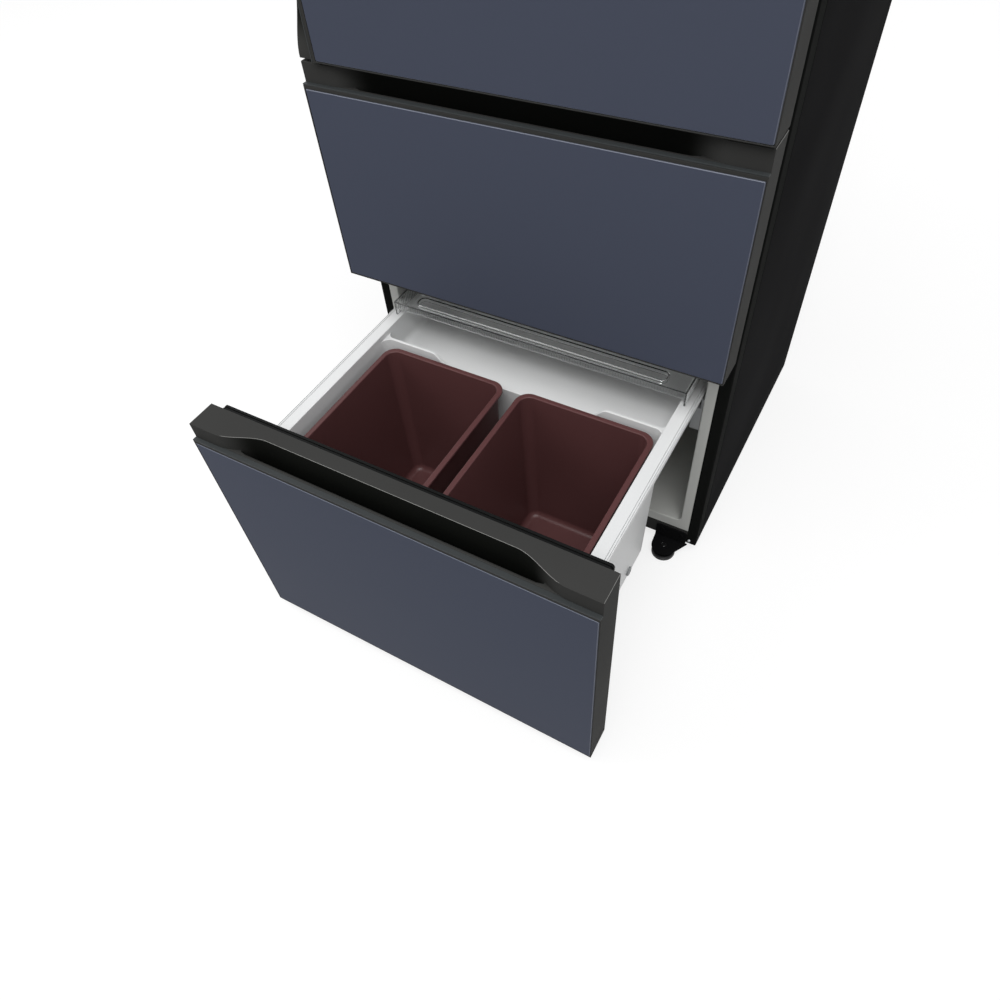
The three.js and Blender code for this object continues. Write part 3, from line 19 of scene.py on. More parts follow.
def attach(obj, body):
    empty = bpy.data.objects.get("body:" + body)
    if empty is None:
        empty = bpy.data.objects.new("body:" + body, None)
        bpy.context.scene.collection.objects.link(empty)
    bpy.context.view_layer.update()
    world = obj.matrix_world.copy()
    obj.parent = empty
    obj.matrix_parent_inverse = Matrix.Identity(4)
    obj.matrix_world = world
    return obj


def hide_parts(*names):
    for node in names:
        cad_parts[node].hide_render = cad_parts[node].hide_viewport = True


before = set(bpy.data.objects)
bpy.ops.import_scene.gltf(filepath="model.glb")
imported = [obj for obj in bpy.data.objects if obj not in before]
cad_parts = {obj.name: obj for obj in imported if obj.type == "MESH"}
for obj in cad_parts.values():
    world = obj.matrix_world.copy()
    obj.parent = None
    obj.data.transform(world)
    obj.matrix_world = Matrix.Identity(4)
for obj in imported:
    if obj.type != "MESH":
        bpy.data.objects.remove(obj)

LOG = logging.getLogger("refrigerator")
MM = 0.001
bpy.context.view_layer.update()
MERGE = 2e-6  # metres: points nearer than this are one
NEAR = 0.1  # millimetres: slack of a search by place
SNAP = 0.05  # millimetres: slack of a search along one height
SIDES = (("left", -1), ("right", 1))
WHITE = (1, 1, 1, 1)

Point = tuple[float, float]
Span = tuple[float, float]
Test = Callable[[Vector, Vector], bool]


# ---- Nodes and finishes ---------------------------------------------------------------------------------


def linear(code: str) -> tuple[float, float, float, float]:
    """Turn an sRGB hex colour into the linear colour that a shader takes.

    Args:
        code: Six hex digits after a hash.

    Returns:
        Red, green, blue and an alpha of 1.
    """
    parts = [int(code[i:i + 2], 16) / 255 for i in (1, 3, 5)]
    red, green, blue = (c / 12.92 if c <= 0.04045 else ((c + 0.055) / 1.055) ** 2.4 for c in parts)
    return red, green, blue, 1.0


def add_node(tree: bpy.types.NodeTree, kind: str, settings: dict | None = None, values: dict | None = None,
             links: dict | None = None) -> bpy.types.Node:
    """Add one node with its settings, its fixed inputs and its links.

    Args:
        tree: The node tree.
        kind: The shader node's type name, without what all of them start with.
        settings: Properties of the node.
        values: Fixed values by input name or number.
        links: Output sockets by the input that each feeds.

    Returns:
        The new node.
    """
    node = tree.nodes.new("ShaderNode" + kind)
    for key, value in (settings or {}).items():
        setattr(node, key, value)
    for key, value in (values or {}).items():
        node.inputs[key].default_value = value
    for key, source in (links or {}).items():
        tree.links.new(source, node.inputs[key])
    return node


def fresh_tree(owner: bpy.types.Material | bpy.types.World) -> bpy.types.NodeTree:
    """Switch on a material's or world's nodes and empty them."""
    owner.use_nodes = True
    owner.node_tree.nodes.clear()
    return owner.node_tree


def spread(tree: bpy.types.NodeTree, noise: bpy.types.NodeSocket, low: float,
           high: float) -> bpy.types.NodeSocket:
    """Stretch the range that a noise mostly keeps to onto another one."""
    return add_node(tree, "MapRange",
                    values={"From Min": 0.3, "From Max": 0.7, "To Min": low, "To Max": high},
                    links={"Value": noise}).outputs["Result"]


class Grain(Enum):
    """How the surface's fine relief was made."""

    MOULDED = "moulded"
    ORANGE_PEEL = "orange peel"
    BRUSHED = "brushed"
    CELLS = "cells"


@dataclass(frozen=True)
class Finish:
    """A real surface: its look, the record's slot for it and the sizes of its unevenness in millimetres."""

    name: str
    colour: str
    roughness: float
    slot: str = ""
    specular: float = 0.5
    metallic: float = 0.0
    ior: float = 1.5
    transmission: float = 0.0
    grain: Grain = Grain.MOULDED
    pitch: float = 1.2
    relief: float = 0.02
    cloud: float = 90.0
    tone: float = 0.04
    wander: float = 0.06
    fade: tuple[float, float, str] | None = None

    def base_colour(self, tree: bpy.types.NodeTree, place: bpy.types.NodeSocket) -> bpy.types.NodeSocket:
        """Give the colour, which a fade turns into another one between two places along y to paint shade that
        deepens into a recess.

        Args:
            tree: The material's node tree.
            place: Object coordinates in metres.

        Returns:
            The colour's socket.
        """
        if not self.fade:
            return add_node(tree, "HueSaturation", values={"Color": linear(self.colour)}).outputs["Color"]
        start, end, other = self.fade
        y = add_node(tree, "SeparateXYZ", links={"Vector": place}).outputs["Y"]
        share = add_node(tree, "MapRange", {"interpolation_type": "SMOOTHSTEP"},
                         {"From Min": start * MM, "From Max": end * MM}, {"Value": y}).outputs["Result"]
        mix = add_node(tree, "Mix", {"data_type": "RGBA"},
                       {6: linear(self.colour), 7: linear(other)}, {0: share})
        return mix.outputs[2]

    def relief_height(self, tree: bpy.types.NodeTree, place: bpy.types.NodeSocket) -> bpy.types.NodeSocket:
        """Make the fine relief's height pattern.

        Args:
            tree: The material's node tree.
            place: Object coordinates in metres.

        Returns:
            The socket that gives the height, from 0 to 1.
        """
        scale = 1000 / self.pitch
        if self.grain is Grain.CELLS:
            cells = add_node(tree, "TexVoronoi", {"feature": "F1"}, {"Scale": scale}, {"Vector": place})
            return cells.outputs["Distance"]
        if self.grain is Grain.BRUSHED:
            place = add_node(tree, "Mapping", values={"Scale": (0.04, 1.0, 1.0)},
                             links={"Vector": place}).outputs["Vector"]
        detail = 1.0 if self.grain is Grain.ORANGE_PEEL else 3.0
        noise = add_node(tree, "TexNoise", values={"Scale": scale, "Detail": detail},
                         links={"Vector": place})
        return noise.outputs["Fac"]

    def material(self) -> bpy.types.Material:
        """Build the finish's material once and hand out the same one afterwards.

        Returns:
            The material.
        """
        known = bpy.data.materials.get(self.name)
        if known:
            return known
        made = bpy.data.materials.new(self.name)
        tree = fresh_tree(made)
        place = add_node(tree, "TexCoord").outputs["Object"]
        cloud = add_node(tree, "TexNoise", values={"Scale": 1000 / self.cloud, "Detail": 2.0},
                         links={"Vector": place}).outputs["Fac"]
        value = spread(tree, cloud, 1 - self.tone, 1 + self.tone)
        tint = add_node(tree, "HueSaturation",
                        links={"Color": self.base_colour(tree, place), "Value": value}).outputs["Color"]
        gloss = spread(tree, cloud, self.roughness * (1 - self.wander), self.roughness * (1 + self.wander))
        bump = add_node(tree, "Bump", values={"Strength": 0.6, "Distance": self.relief * MM},
                        links={"Height": self.relief_height(tree, place)}).outputs["Normal"]
        shader = add_node(tree, "BsdfPrincipled",
                          values={"Metallic": self.metallic, "IOR": self.ior,
                                  "Specular IOR Level": self.specular,
                                  "Transmission Weight": self.transmission},
                          links={"Base Color": tint, "Roughness": gloss, "Normal": bump})
        add_node(tree, "OutputMaterial", links={"Surface": shader.outputs["BSDF"]})
        return made


# Powder-coated steel sheet: near black and matt, with the faint orange peel of the baked coat.
COATED_STEEL = Finish("powder_coated_steel", "#141415", 0.85, "black_steel", specular=0.012,
                      grain=Grain.ORANGE_PEEL, pitch=2.4, cloud=300)
# The folded front of the case: the same coat, a little less matt, up to the open fold behind it, and a shade
# lighter as painted light for how the light falls on this strip.
FOLDED_STEEL_PAINTED_LIGHT = replace(COATED_STEEL, name="folded_coated_steel_painted_light", colour="#171817", roughness=0.8)
# ABS frame moulded in charcoal: satin, with a fine spark-eroded texture.
CHARCOAL_ABS = Finish("charcoal_moulded_abs", "#3a3a39", 0.68, "charcoal", specular=0.03, pitch=0.9,
                      relief=0.015, cloud=140)
# Painted shade: the colour that the charcoal fades to in the depth of the grip, where the pocket lies in
# shadow.
GRIP_PAINTED_SHADE = "#121311"
# Painted highlight: the rounded edge over the grip takes a much lighter, glossier copy of the ABS, so that it
# draws a bright line along the edge.
GRIP_EDGE_PAINTED_HIGHLIGHT = Finish("abs_edge_painted_highlight", "#7a7a77", 0.3, pitch=1.1, relief=0.01, cloud=120)
# Painted strip along the grip's lip: smoother than the frame, so that it reads as a line.
GRIP_PAINT = Finish("grey_painted_strip", "#333637", 0.5, "charcoal", specular=0.2, pitch=1.5, relief=0.01,
                    cloud=120)
# Satin-etched glass painted on its back: an even slate blue with a soft sheen and no sharp reflection.
ETCHED_GLASS = Finish("etched_back_painted_glass", "#4c5160", 0.45, "slate_glass", specular=0.02, pitch=0.8,
                      relief=0.006, cloud=400, tone=0.012, wander=0.04)
# Edge of the same glass, ground and left unpainted, in a lighter slate that is also a painted highlight along
# it: a thin pale line round the panel.
GROUND_GLASS_EDGE_AND_HIGHLIGHT = Finish("ground_glass_edge_and_highlight", "#6f7483", 0.5, pitch=0.6, cloud=50)
# Lining of vacuum-formed polystyrene sheet: off-white, satin, with slow waves from the forming.
FORMED_LINING = Finish("vacuum_formed_polystyrene", "#c3c4c0", 0.42, "white_plastic", specular=0.4, pitch=6.0,
                       relief=0.03, cloud=160, tone=0.025)
# Drawer basket moulded in polypropylene: cooler and cleaner white than the lining, with a waxy sheen.
MOULDED_PP = Finish("moulded_polypropylene", "#dfe0e0", 0.36, "white_plastic", specular=0.4, pitch=1.6,
                    relief=0.012, cloud=110, tone=0.015)
# Rails and small fittings moulded in acetal: plain mid grey.
ACETAL = Finish("grey_moulded_acetal", "#8f9192", 0.45, "grey_plastic", pitch=1.0, relief=0.015)
# Food containers of polished polypropylene: dark maroon that mirrors the light along its rounded rims.
POLISHED_PP = Finish("polished_maroon_polypropylene", "#5c3b3b", 0.34, "maroon_plastic", specular=0.3,
                     pitch=14.0, relief=0.01, cloud=160, wander=0.08)
# Clear polystyrene of the sliding cover and the door's bins.
CLEAR_STYRENE = Finish("clear_moulded_polystyrene", "#fafbfb", 0.05, "clear_plastic", transmission=1.0,
                       pitch=40.0, relief=0.004, cloud=60, tone=0.01)
# Painted shade on the edges of the same clear plastic: light is caught inside and little comes back, so they
# look dark, and an opaque near-black colour draws those lines.
STYRENE_EDGE_PAINTED_SHADE = Finish("clear_polystyrene_edge_painted_shade", "#0d0e0f", 0.3, specular=0.15, pitch=8.0, relief=0.01, cloud=60)
# Tempered float glass of the shelves: clear with a trace of green.
FLOAT_GLASS = Finish("tempered_float_glass", "#dcebe6", 0.03, "shelf_glass", ior=1.52, transmission=1.0,
                     pitch=40.0, relief=0.01, cloud=300, tone=0.005)
# Black ABS of feet, rollers and covers: plain, slightly glossy.
BLACK_ABS = Finish("black_moulded_abs", "#0f0f10", 0.42, "black_plastic", specular=0.3, pitch=0.9)
# Soft PVC of the seals: matt black with the long marks of extrusion.
SOFT_PVC = Finish("extruded_soft_pvc", "#0e0f0f", 0.6, "rubber", specular=0.12, grain=Grain.BRUSHED, pitch=1.0,
                  relief=0.03)
# Zinc-plated steel of hinges and screws: bright, faintly streaked.
ZINC_PLATE = Finish("zinc_plated_steel", "#b6b8ba", 0.32, "zinc", metallic=1.0, grain=Grain.BRUSHED, pitch=0.8,
                    relief=0.01, cloud=30)
# Aluminium of the cooling plates and fins: pale, dull and cold.
FIN_ALUMINIUM = Finish("rolled_aluminium", "#c4c7c9", 0.4, metallic=1.0, grain=Grain.BRUSHED, pitch=1.0)
# Polyurethane foam blown in place: cream, matt, full of small cells.
BLOWN_FOAM = Finish("blown_polyurethane_foam", "#d9cd9f", 0.9, specular=0.2, grain=Grain.CELLS, pitch=2.2,
                    relief=0.5, cloud=40, tone=0.08)


# ---- Shaping pieces -------------------------------------------------------------------------------------


def ease(t: float) -> float:
    """An eased step from 0 to 1."""
    return t * t * (3 - 2 * t)


def span(a: float, b: float) -> Span:
    """Put two values in order."""
    return min(a, b), max(a, b)


def at_z(height: float) -> Test:
    """Make a test for edges that lie at a height."""
    return lambda m, d: abs(m.z - height) < SNAP


def slanted(normal: Vector) -> bool:
    """Whether a face looks along none of the axes."""
    return max(abs(v) for v in normal) < 0.95


def shift(x: float, y: float, z: float) -> Matrix:
    """Make the matrix of a move in millimetres."""
    return Matrix.Translation((x * MM, y * MM, z * MM))


def release() -> None:
    """Deselect everything."""
    bpy.ops.object.select_all(action="DESELECT")


def pick_all() -> None:
    """Select the whole of the mesh that is being edited."""
    bpy.ops.mesh.select_all(action="SELECT")


def rounded(a: Span, b: Span, radius: float, steps: int = 8) -> list[Point]:
    """Outline a rectangle with rounded corners.

    Args:
        a: Its extent in the outline's first direction.
        b: Its extent in the second.
        radius: Radius of the corners.
        steps: Segments in each corner.

    Returns:
        The points, anticlockwise from the lower left corner.
    """
    centres = [(a[0] + radius, b[0] + radius, 2), (a[1] - radius, b[0] + radius, 3),
               (a[1] - radius, b[1] - radius, 0), (a[0] + radius, b[1] - radius, 1)]
    points = []
    for u, v, quarter in centres:
        for i in range(steps + 1):
            angle = (quarter + i / steps) * math.pi / 2
            points.append((u + radius * math.cos(angle), v + radius * math.sin(angle)))
    return points


def place(axis: str, point: Point, height: float) -> Vector:
    """Put an outline's point at a height along the axis, in metres."""
    a, b = point
    spot = {"x": (height, a, b), "y": (a, height, b), "z": (a, b, height)}[axis]
    return Vector(spot) * MM


class Piece:
    """One mesh on the bench, shaped with Blender's own operators."""

    def __init__(self, shape: bpy.types.Object) -> None:
        """Take an object as a piece."""
        self.shape = shape

    # Starting shapes

    @classmethod
    def _from_active(cls, name: str) -> "Piece":
        """Name the primitive that was just added and put its place in its mesh."""
        shape = bpy.context.active_object
        shape.name = shape.data.name = name
        bpy.ops.object.transform_apply(location=True, rotation=True, scale=True)
        return cls(shape)

    @classmethod
    def block(cls, name: str, x: Span, y: Span, z: Span) -> "Piece":
        """Start from a cube between two values along each axis.

        Args:
            name: Name of the piece.
            x: Lowest and highest X.
            y: Lowest and highest Y.
            z: Lowest and highest Z.

        Returns:
            The block.
        """
        release()
        spans = (x, y, z)
        bpy.ops.mesh.primitive_cube_add(size=1, location=[(s[0] + s[1]) / 2 * MM for s in spans],
                                        scale=[(s[1] - s[0]) * MM for s in spans])
        return cls._from_active(name)

    @classmethod
    def outline(cls, name: str, axis: str, points: Sequence[Point], height: float,
                fill: str = "NGON") -> "Piece":
        """Start from a circle whose points are moved onto an outline.

        Args:
            name: Name of the piece.
            axis: The axis that the outline faces.
            points: The outline, in the other two axes.
            height: Its place along the axis.
            fill: How the circle is filled.

        Returns:
            The flat outline.
        """
        release()
        bpy.ops.mesh.primitive_circle_add(vertices=len(points), radius=1, fill_type=fill)
        piece = cls._from_active(name)
        for vertex, point in zip(piece.shape.data.vertices, points):
            vertex.co = place(axis, point, height)
        return piece

    @classmethod
    def prism(cls, name: str, axis: str, points: Sequence[Point], low: float, high: float,
              top: Sequence[Point] | None = None) -> "Piece":
        """Extrude an outline along an axis, onto a second outline if it tapers.

        Args:
            name: Name of the piece.
            axis: The axis that it is extruded along.
            points: Its outline at the low end.
            low: Where it starts.
            high: Where it ends.
            top: Its outline at the high end, if that differs.

        Returns:
            The closed prism.
        """
        return cls.loft(name, axis, [(low, points), (high, top or points)])

    @classmethod
    def loft(cls, name: str, axis: str, levels: Sequence[tuple[float, Sequence[Point]]]) -> "Piece":
        """Extrude an outline through a row of levels, each with its own form of it.

        Args:
            name: Name of the piece.
            axis: The axis that it is extruded along.
            levels: Each level's place along the axis and its outline, all with as many points.

        Returns:
            The closed loft.
        """
        piece = cls.outline(name, axis, levels[0][1], levels[0][0])
        with piece.editing("FACE"):
            pick_all()
        for (low, under), (high, over) in zip(levels, levels[1:]):
            with piece.editing("FACE"):
                step = place(axis, (0, 0), high - low)
                bpy.ops.mesh.extrude_region_move(TRANSFORM_OT_translate={"value": step})
            vertices = piece.shape.data.vertices
            for start, end in zip(under, over):
                spot = place(axis, start, high)
                min(vertices, key=lambda v: (v.co - spot).length_squared).co = place(axis, end, high)
        return piece.outward()

    @classmethod
    def turned(cls, name: str, axis: str, profile: Sequence[Point], centre: Point, steps: int = 48) -> "Piece":
        """Spin a closed profile of (radius, place along the axis) round an axis.

        Args:
            name: Name of the piece.
            axis: The axis that it turns about.
            profile: The profile's corners.
            centre: Where the axis runs, in the other two directions.
            steps: Segments round it.

        Returns:
            The turned piece.
        """
        piece = cls.outline(name, "z", profile, 0, fill="NOTHING")
        for vertex, (radius, along) in zip(piece.shape.data.vertices, profile):
            vertex.co = place(axis, (centre[0] + radius, centre[1]), along)
        with piece.editing("VERT"):
            pick_all()
            bpy.ops.mesh.spin(steps=steps, angle=2 * math.pi, center=place(axis, centre, 0),
                              axis=place(axis, (0, 0), 1) / MM)
            pick_all()
            bpy.ops.mesh.remove_doubles(threshold=1e-6)
        return piece.outward()

    @classmethod
    def copy_of(cls, node: str, name: str) -> "Piece":
        """Start from a merged copy of a CAD node's mesh.

        Args:
            node: The node to copy.
            name: Name of the piece.

        Returns:
            The copy, with flat faces joined.
        """
        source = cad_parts[node]
        shape = bpy.data.objects.new(name, source.data.copy())
        bpy.context.scene.collection.objects.link(shape)
        piece = cls(shape)
        with piece.editing("VERT"):
            pick_all()
            bpy.ops.mesh.remove_doubles(threshold=MERGE)
            bpy.ops.mesh.dissolve_limited(angle_limit=math.radians(0.5))
        return piece

    # Work in edit mode

    def focus(self) -> None:
        """Select this piece alone and make it the active one."""
        release()
        self.shape.select_set(True)
        bpy.context.view_layer.objects.active = self.shape

    @contextmanager
    def editing(self, mode: str) -> Iterator[None]:
        """Work on this piece alone in edit mode, selecting by the given element."""
        self.focus()
        bpy.ops.object.mode_set(mode="EDIT")
        bpy.ops.mesh.select_mode(type=mode)
        try:
            yield
        finally:
            bpy.ops.object.mode_set(mode="OBJECT")

    def pick_edges(self, test: Test, least: float) -> None:
        """Select the outer edges that pass a test.

        Args:
            test: Takes an edge's middle in millimetres and its direction.
            least: Edges flatter than this, in degrees, are left.
        """
        bpy.ops.mesh.select_all(action="DESELECT")
        mesh = bmesh.from_edit_mesh(self.shape.data)
        mesh.normal_update()
        for edge in mesh.edges:
            ends = [v.co / MM for v in edge.verts]
            sharp = edge.is_convex and edge.calc_face_angle(0.0) > math.radians(least)
            if sharp and test((ends[0] + ends[1]) / 2, (ends[1] - ends[0]).normalized()):
                edge.select_set(True)
        bmesh.update_edit_mesh(self.shape.data)

    def pick_faces(self, test: Test) -> None:
        """Select the faces whose middle in millimetres and normal pass a test."""
        bpy.ops.mesh.select_all(action="DESELECT")
        mesh = bmesh.from_edit_mesh(self.shape.data)
        mesh.normal_update()
        for face in mesh.faces:
            if test(face.calc_center_median() / MM, face.normal):
                face.select_set(True)
        bmesh.update_edit_mesh(self.shape.data)

    def round_edges(self, test: Test, radius: float, steps: int = 4, least: float = 20.0) -> "Piece":
        """Round chosen outer edges.

        Args:
            test: Says which edges, from their middle and direction.
            radius: How far the rounding reaches.
            steps: Segments across it.
            least: Edges flatter than this, in degrees, are left.

        Returns:
            The piece.
        """
        with self.editing("EDGE"):
            self.pick_edges(test, least)
            bpy.ops.mesh.bevel(offset=radius * MM, segments=steps, affect="EDGES")
        return self

    def sink_faces(self, test: Test, inset: float, depth: float) -> "Piece":
        """Inset chosen faces and sink them.

        Args:
            test: Says which faces, from their middle and normal.
            inset: Width of the border that is left.
            depth: How far they go in.

        Returns:
            The piece.
        """
        with self.editing("FACE"):
            self.pick_faces(test)
            bpy.ops.mesh.inset(thickness=inset * MM, depth=0)
            bpy.ops.mesh.inset(thickness=depth * MM * 0.5, depth=-depth * MM)
        return self

    def groove_bands(self, cuts: Sequence[Span], depth: float) -> "Piece":
        """Sink bands that run round the piece between pairs of Y values.

        Args:
            cuts: Start and end of each band along Y.
            depth: How far a band goes in.

        Returns:
            The piece.
        """
        with self.editing("FACE"):
            for low, high in cuts:
                for y in (low, high):
                    pick_all()
                    bpy.ops.mesh.bisect(plane_co=(0, y * MM, 0), plane_no=(0, 1, 0))
                self.pick_faces(lambda c, n: low < c.y < high and abs(n.y) < 0.1)
                bpy.ops.mesh.extrude_region_shrink_fatten(TRANSFORM_OT_shrink_fatten={"value": -depth * MM})
        return self

    def outward(self) -> "Piece":
        """Turn every face outwards."""
        with self.editing("FACE"):
            pick_all()
            bpy.ops.mesh.normals_make_consistent(inside=False)
        return self

    # Work with modifiers

    def _apply(self, modifier: bpy.types.Modifier) -> None:
        """Apply a modifier to this piece."""
        self.focus()
        bpy.ops.object.modifier_apply(modifier=modifier.name)

    def _combine(self, operation: str, others: Sequence["Piece"]) -> "Piece":
        """Join or cut this piece with others, which are used up."""
        for other in others:
            modifier = self.shape.modifiers.new(operation, "BOOLEAN")
            modifier.operation = operation
            modifier.solver = "EXACT"
            modifier.object = other.shape
            self._apply(modifier)
            bpy.data.objects.remove(other.shape)
        return self.clean()

    def carve(self, *tools: "Piece") -> "Piece":
        """Cut other pieces out of this one."""
        return self._combine("DIFFERENCE", tools)

    def fuse(self, *others: "Piece") -> "Piece":
        """Melt other pieces into this one."""
        return self._combine("UNION", others)

    def attach(self, *others: "Piece") -> "Piece":
        """Take other closed pieces into this mesh as they are."""
        self.focus()
        for other in others:
            other.shape.select_set(True)
        bpy.ops.object.join()
        return self

    def repeat(self, count: int, step: tuple[float, float, float]) -> "Piece":
        """Repeat the piece in a row.

        Args:
            count: How many there are.
            step: From one to the next.

        Returns:
            The piece, now a row.
        """
        modifier = self.shape.modifiers.new("row", "ARRAY")
        modifier.count = count
        modifier.use_relative_offset = False
        modifier.use_constant_offset = True
        modifier.constant_offset_displace = [s * MM for s in step]
        self._apply(modifier)
        return self

    def soften(self, width: float, steps: int = 3) -> "Piece":
        """Round all the outer edges but the flattest.

        Args:
            width: Reach of the rounding.
            steps: Segments across it.

        Returns:
            The piece.
        """
        return self.clean().round_edges(lambda m, d: True, width, steps, 38.0)

    def clean(self) -> "Piece":
        """Merge points that lie together and join faces that lie in one plane."""
        with self.editing("VERT"):
            pick_all()
            bpy.ops.mesh.remove_doubles(threshold=MERGE)
            bpy.ops.mesh.dissolve_limited(angle_limit=math.radians(0.3))
            pick_all()
            bpy.ops.mesh.delete_loose()
        return self

    def shade(self, angle: float = 40.0) -> "Piece":
        """Shade curves smooth and keep large faces flat."""
        self.focus()
        bpy.ops.object.shade_smooth_by_angle(angle=math.radians(angle))
        modifier = self.shape.modifiers.new("normals", "WEIGHTED_NORMAL")
        modifier.keep_sharp = True
        modifier.weight = 80
        self._apply(modifier)
        return self

    # Copies, places and finishes

    def moved(self, name: str, matrix: Matrix) -> "Piece":
        """Make a copy with its own mesh somewhere else.

        Args:
            name: Name of the copy.
            matrix: Where it goes, in metres. A mirror is turned the right way out again.

        Returns:
            The copy.
        """
        shape = self.shape.copy()
        shape.data = self.shape.data.copy()
        shape.name = shape.data.name = name
        bpy.context.scene.collection.objects.link(shape)
        copy = Piece(shape)
        shape.data.transform(matrix)
        if matrix.determinant() < 0:
            shape.data.flip_normals()
        return copy

    def mirrored(self, name: str) -> "Piece":
        """Make the left-hand copy of a right-hand piece."""
        return self.moved(name, Matrix.Diagonal((-1, 1, 1, 1)))

    def place_mesh(self, matrix: Matrix) -> "Piece":
        """Move the mesh itself, in metres."""
        self.shape.data.transform(matrix)
        return self

    def dress(self, body: str, finish: Finish, *nodes: str,
              accents: Sequence[tuple[Finish, Test]] = ()) -> "Piece":
        """Paint the finished piece and fit it to the frame.

        Args:
            body: The CAD body that it rides on.
            finish: Its surface.
            nodes: The CAD nodes that it stands for.
            accents: Surfaces that some of its faces have, and what says which, from a face's middle and normal.

        Returns:
            The piece.
        """
        mesh = self.shape.data
        mesh.materials.clear()
        mesh.materials.append(finish.material())
        for face in mesh.polygons:
            face.material_index = 0
        for number, (accent, chosen) in enumerate(accents, 1):
            mesh.materials.append(accent.material())
            for face in mesh.polygons:
                if chosen(face.center / MM, face.normal):
                    face.material_index = number
        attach(self.shape, body)
        if nodes:
            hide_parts(*nodes)
        LOG.info("%s: %d faces, on %s", self.shape.name, len(mesh.polygons), body)
        return self


def soft_copy(node: str, name: str, width: float, body: str, finish: Finish, steps: int = 2) -> Piece:
    """Copy a CAD node whose shape is right, round its edges and dress it.

    Args:
        node: The node to stand for.
        name: Name of the piece.
        width: Reach of the rounding.
        body: The CAD body that it rides on.
        finish: Its surface.
        steps: Segments across the rounding.

    Returns:
        The dressed piece.
    """
    return Piece.copy_of(node, name).soften(width, steps).shade().dress(body, finish, node)


# ---- Fronts ---------------------------------------------------------------------------------------------


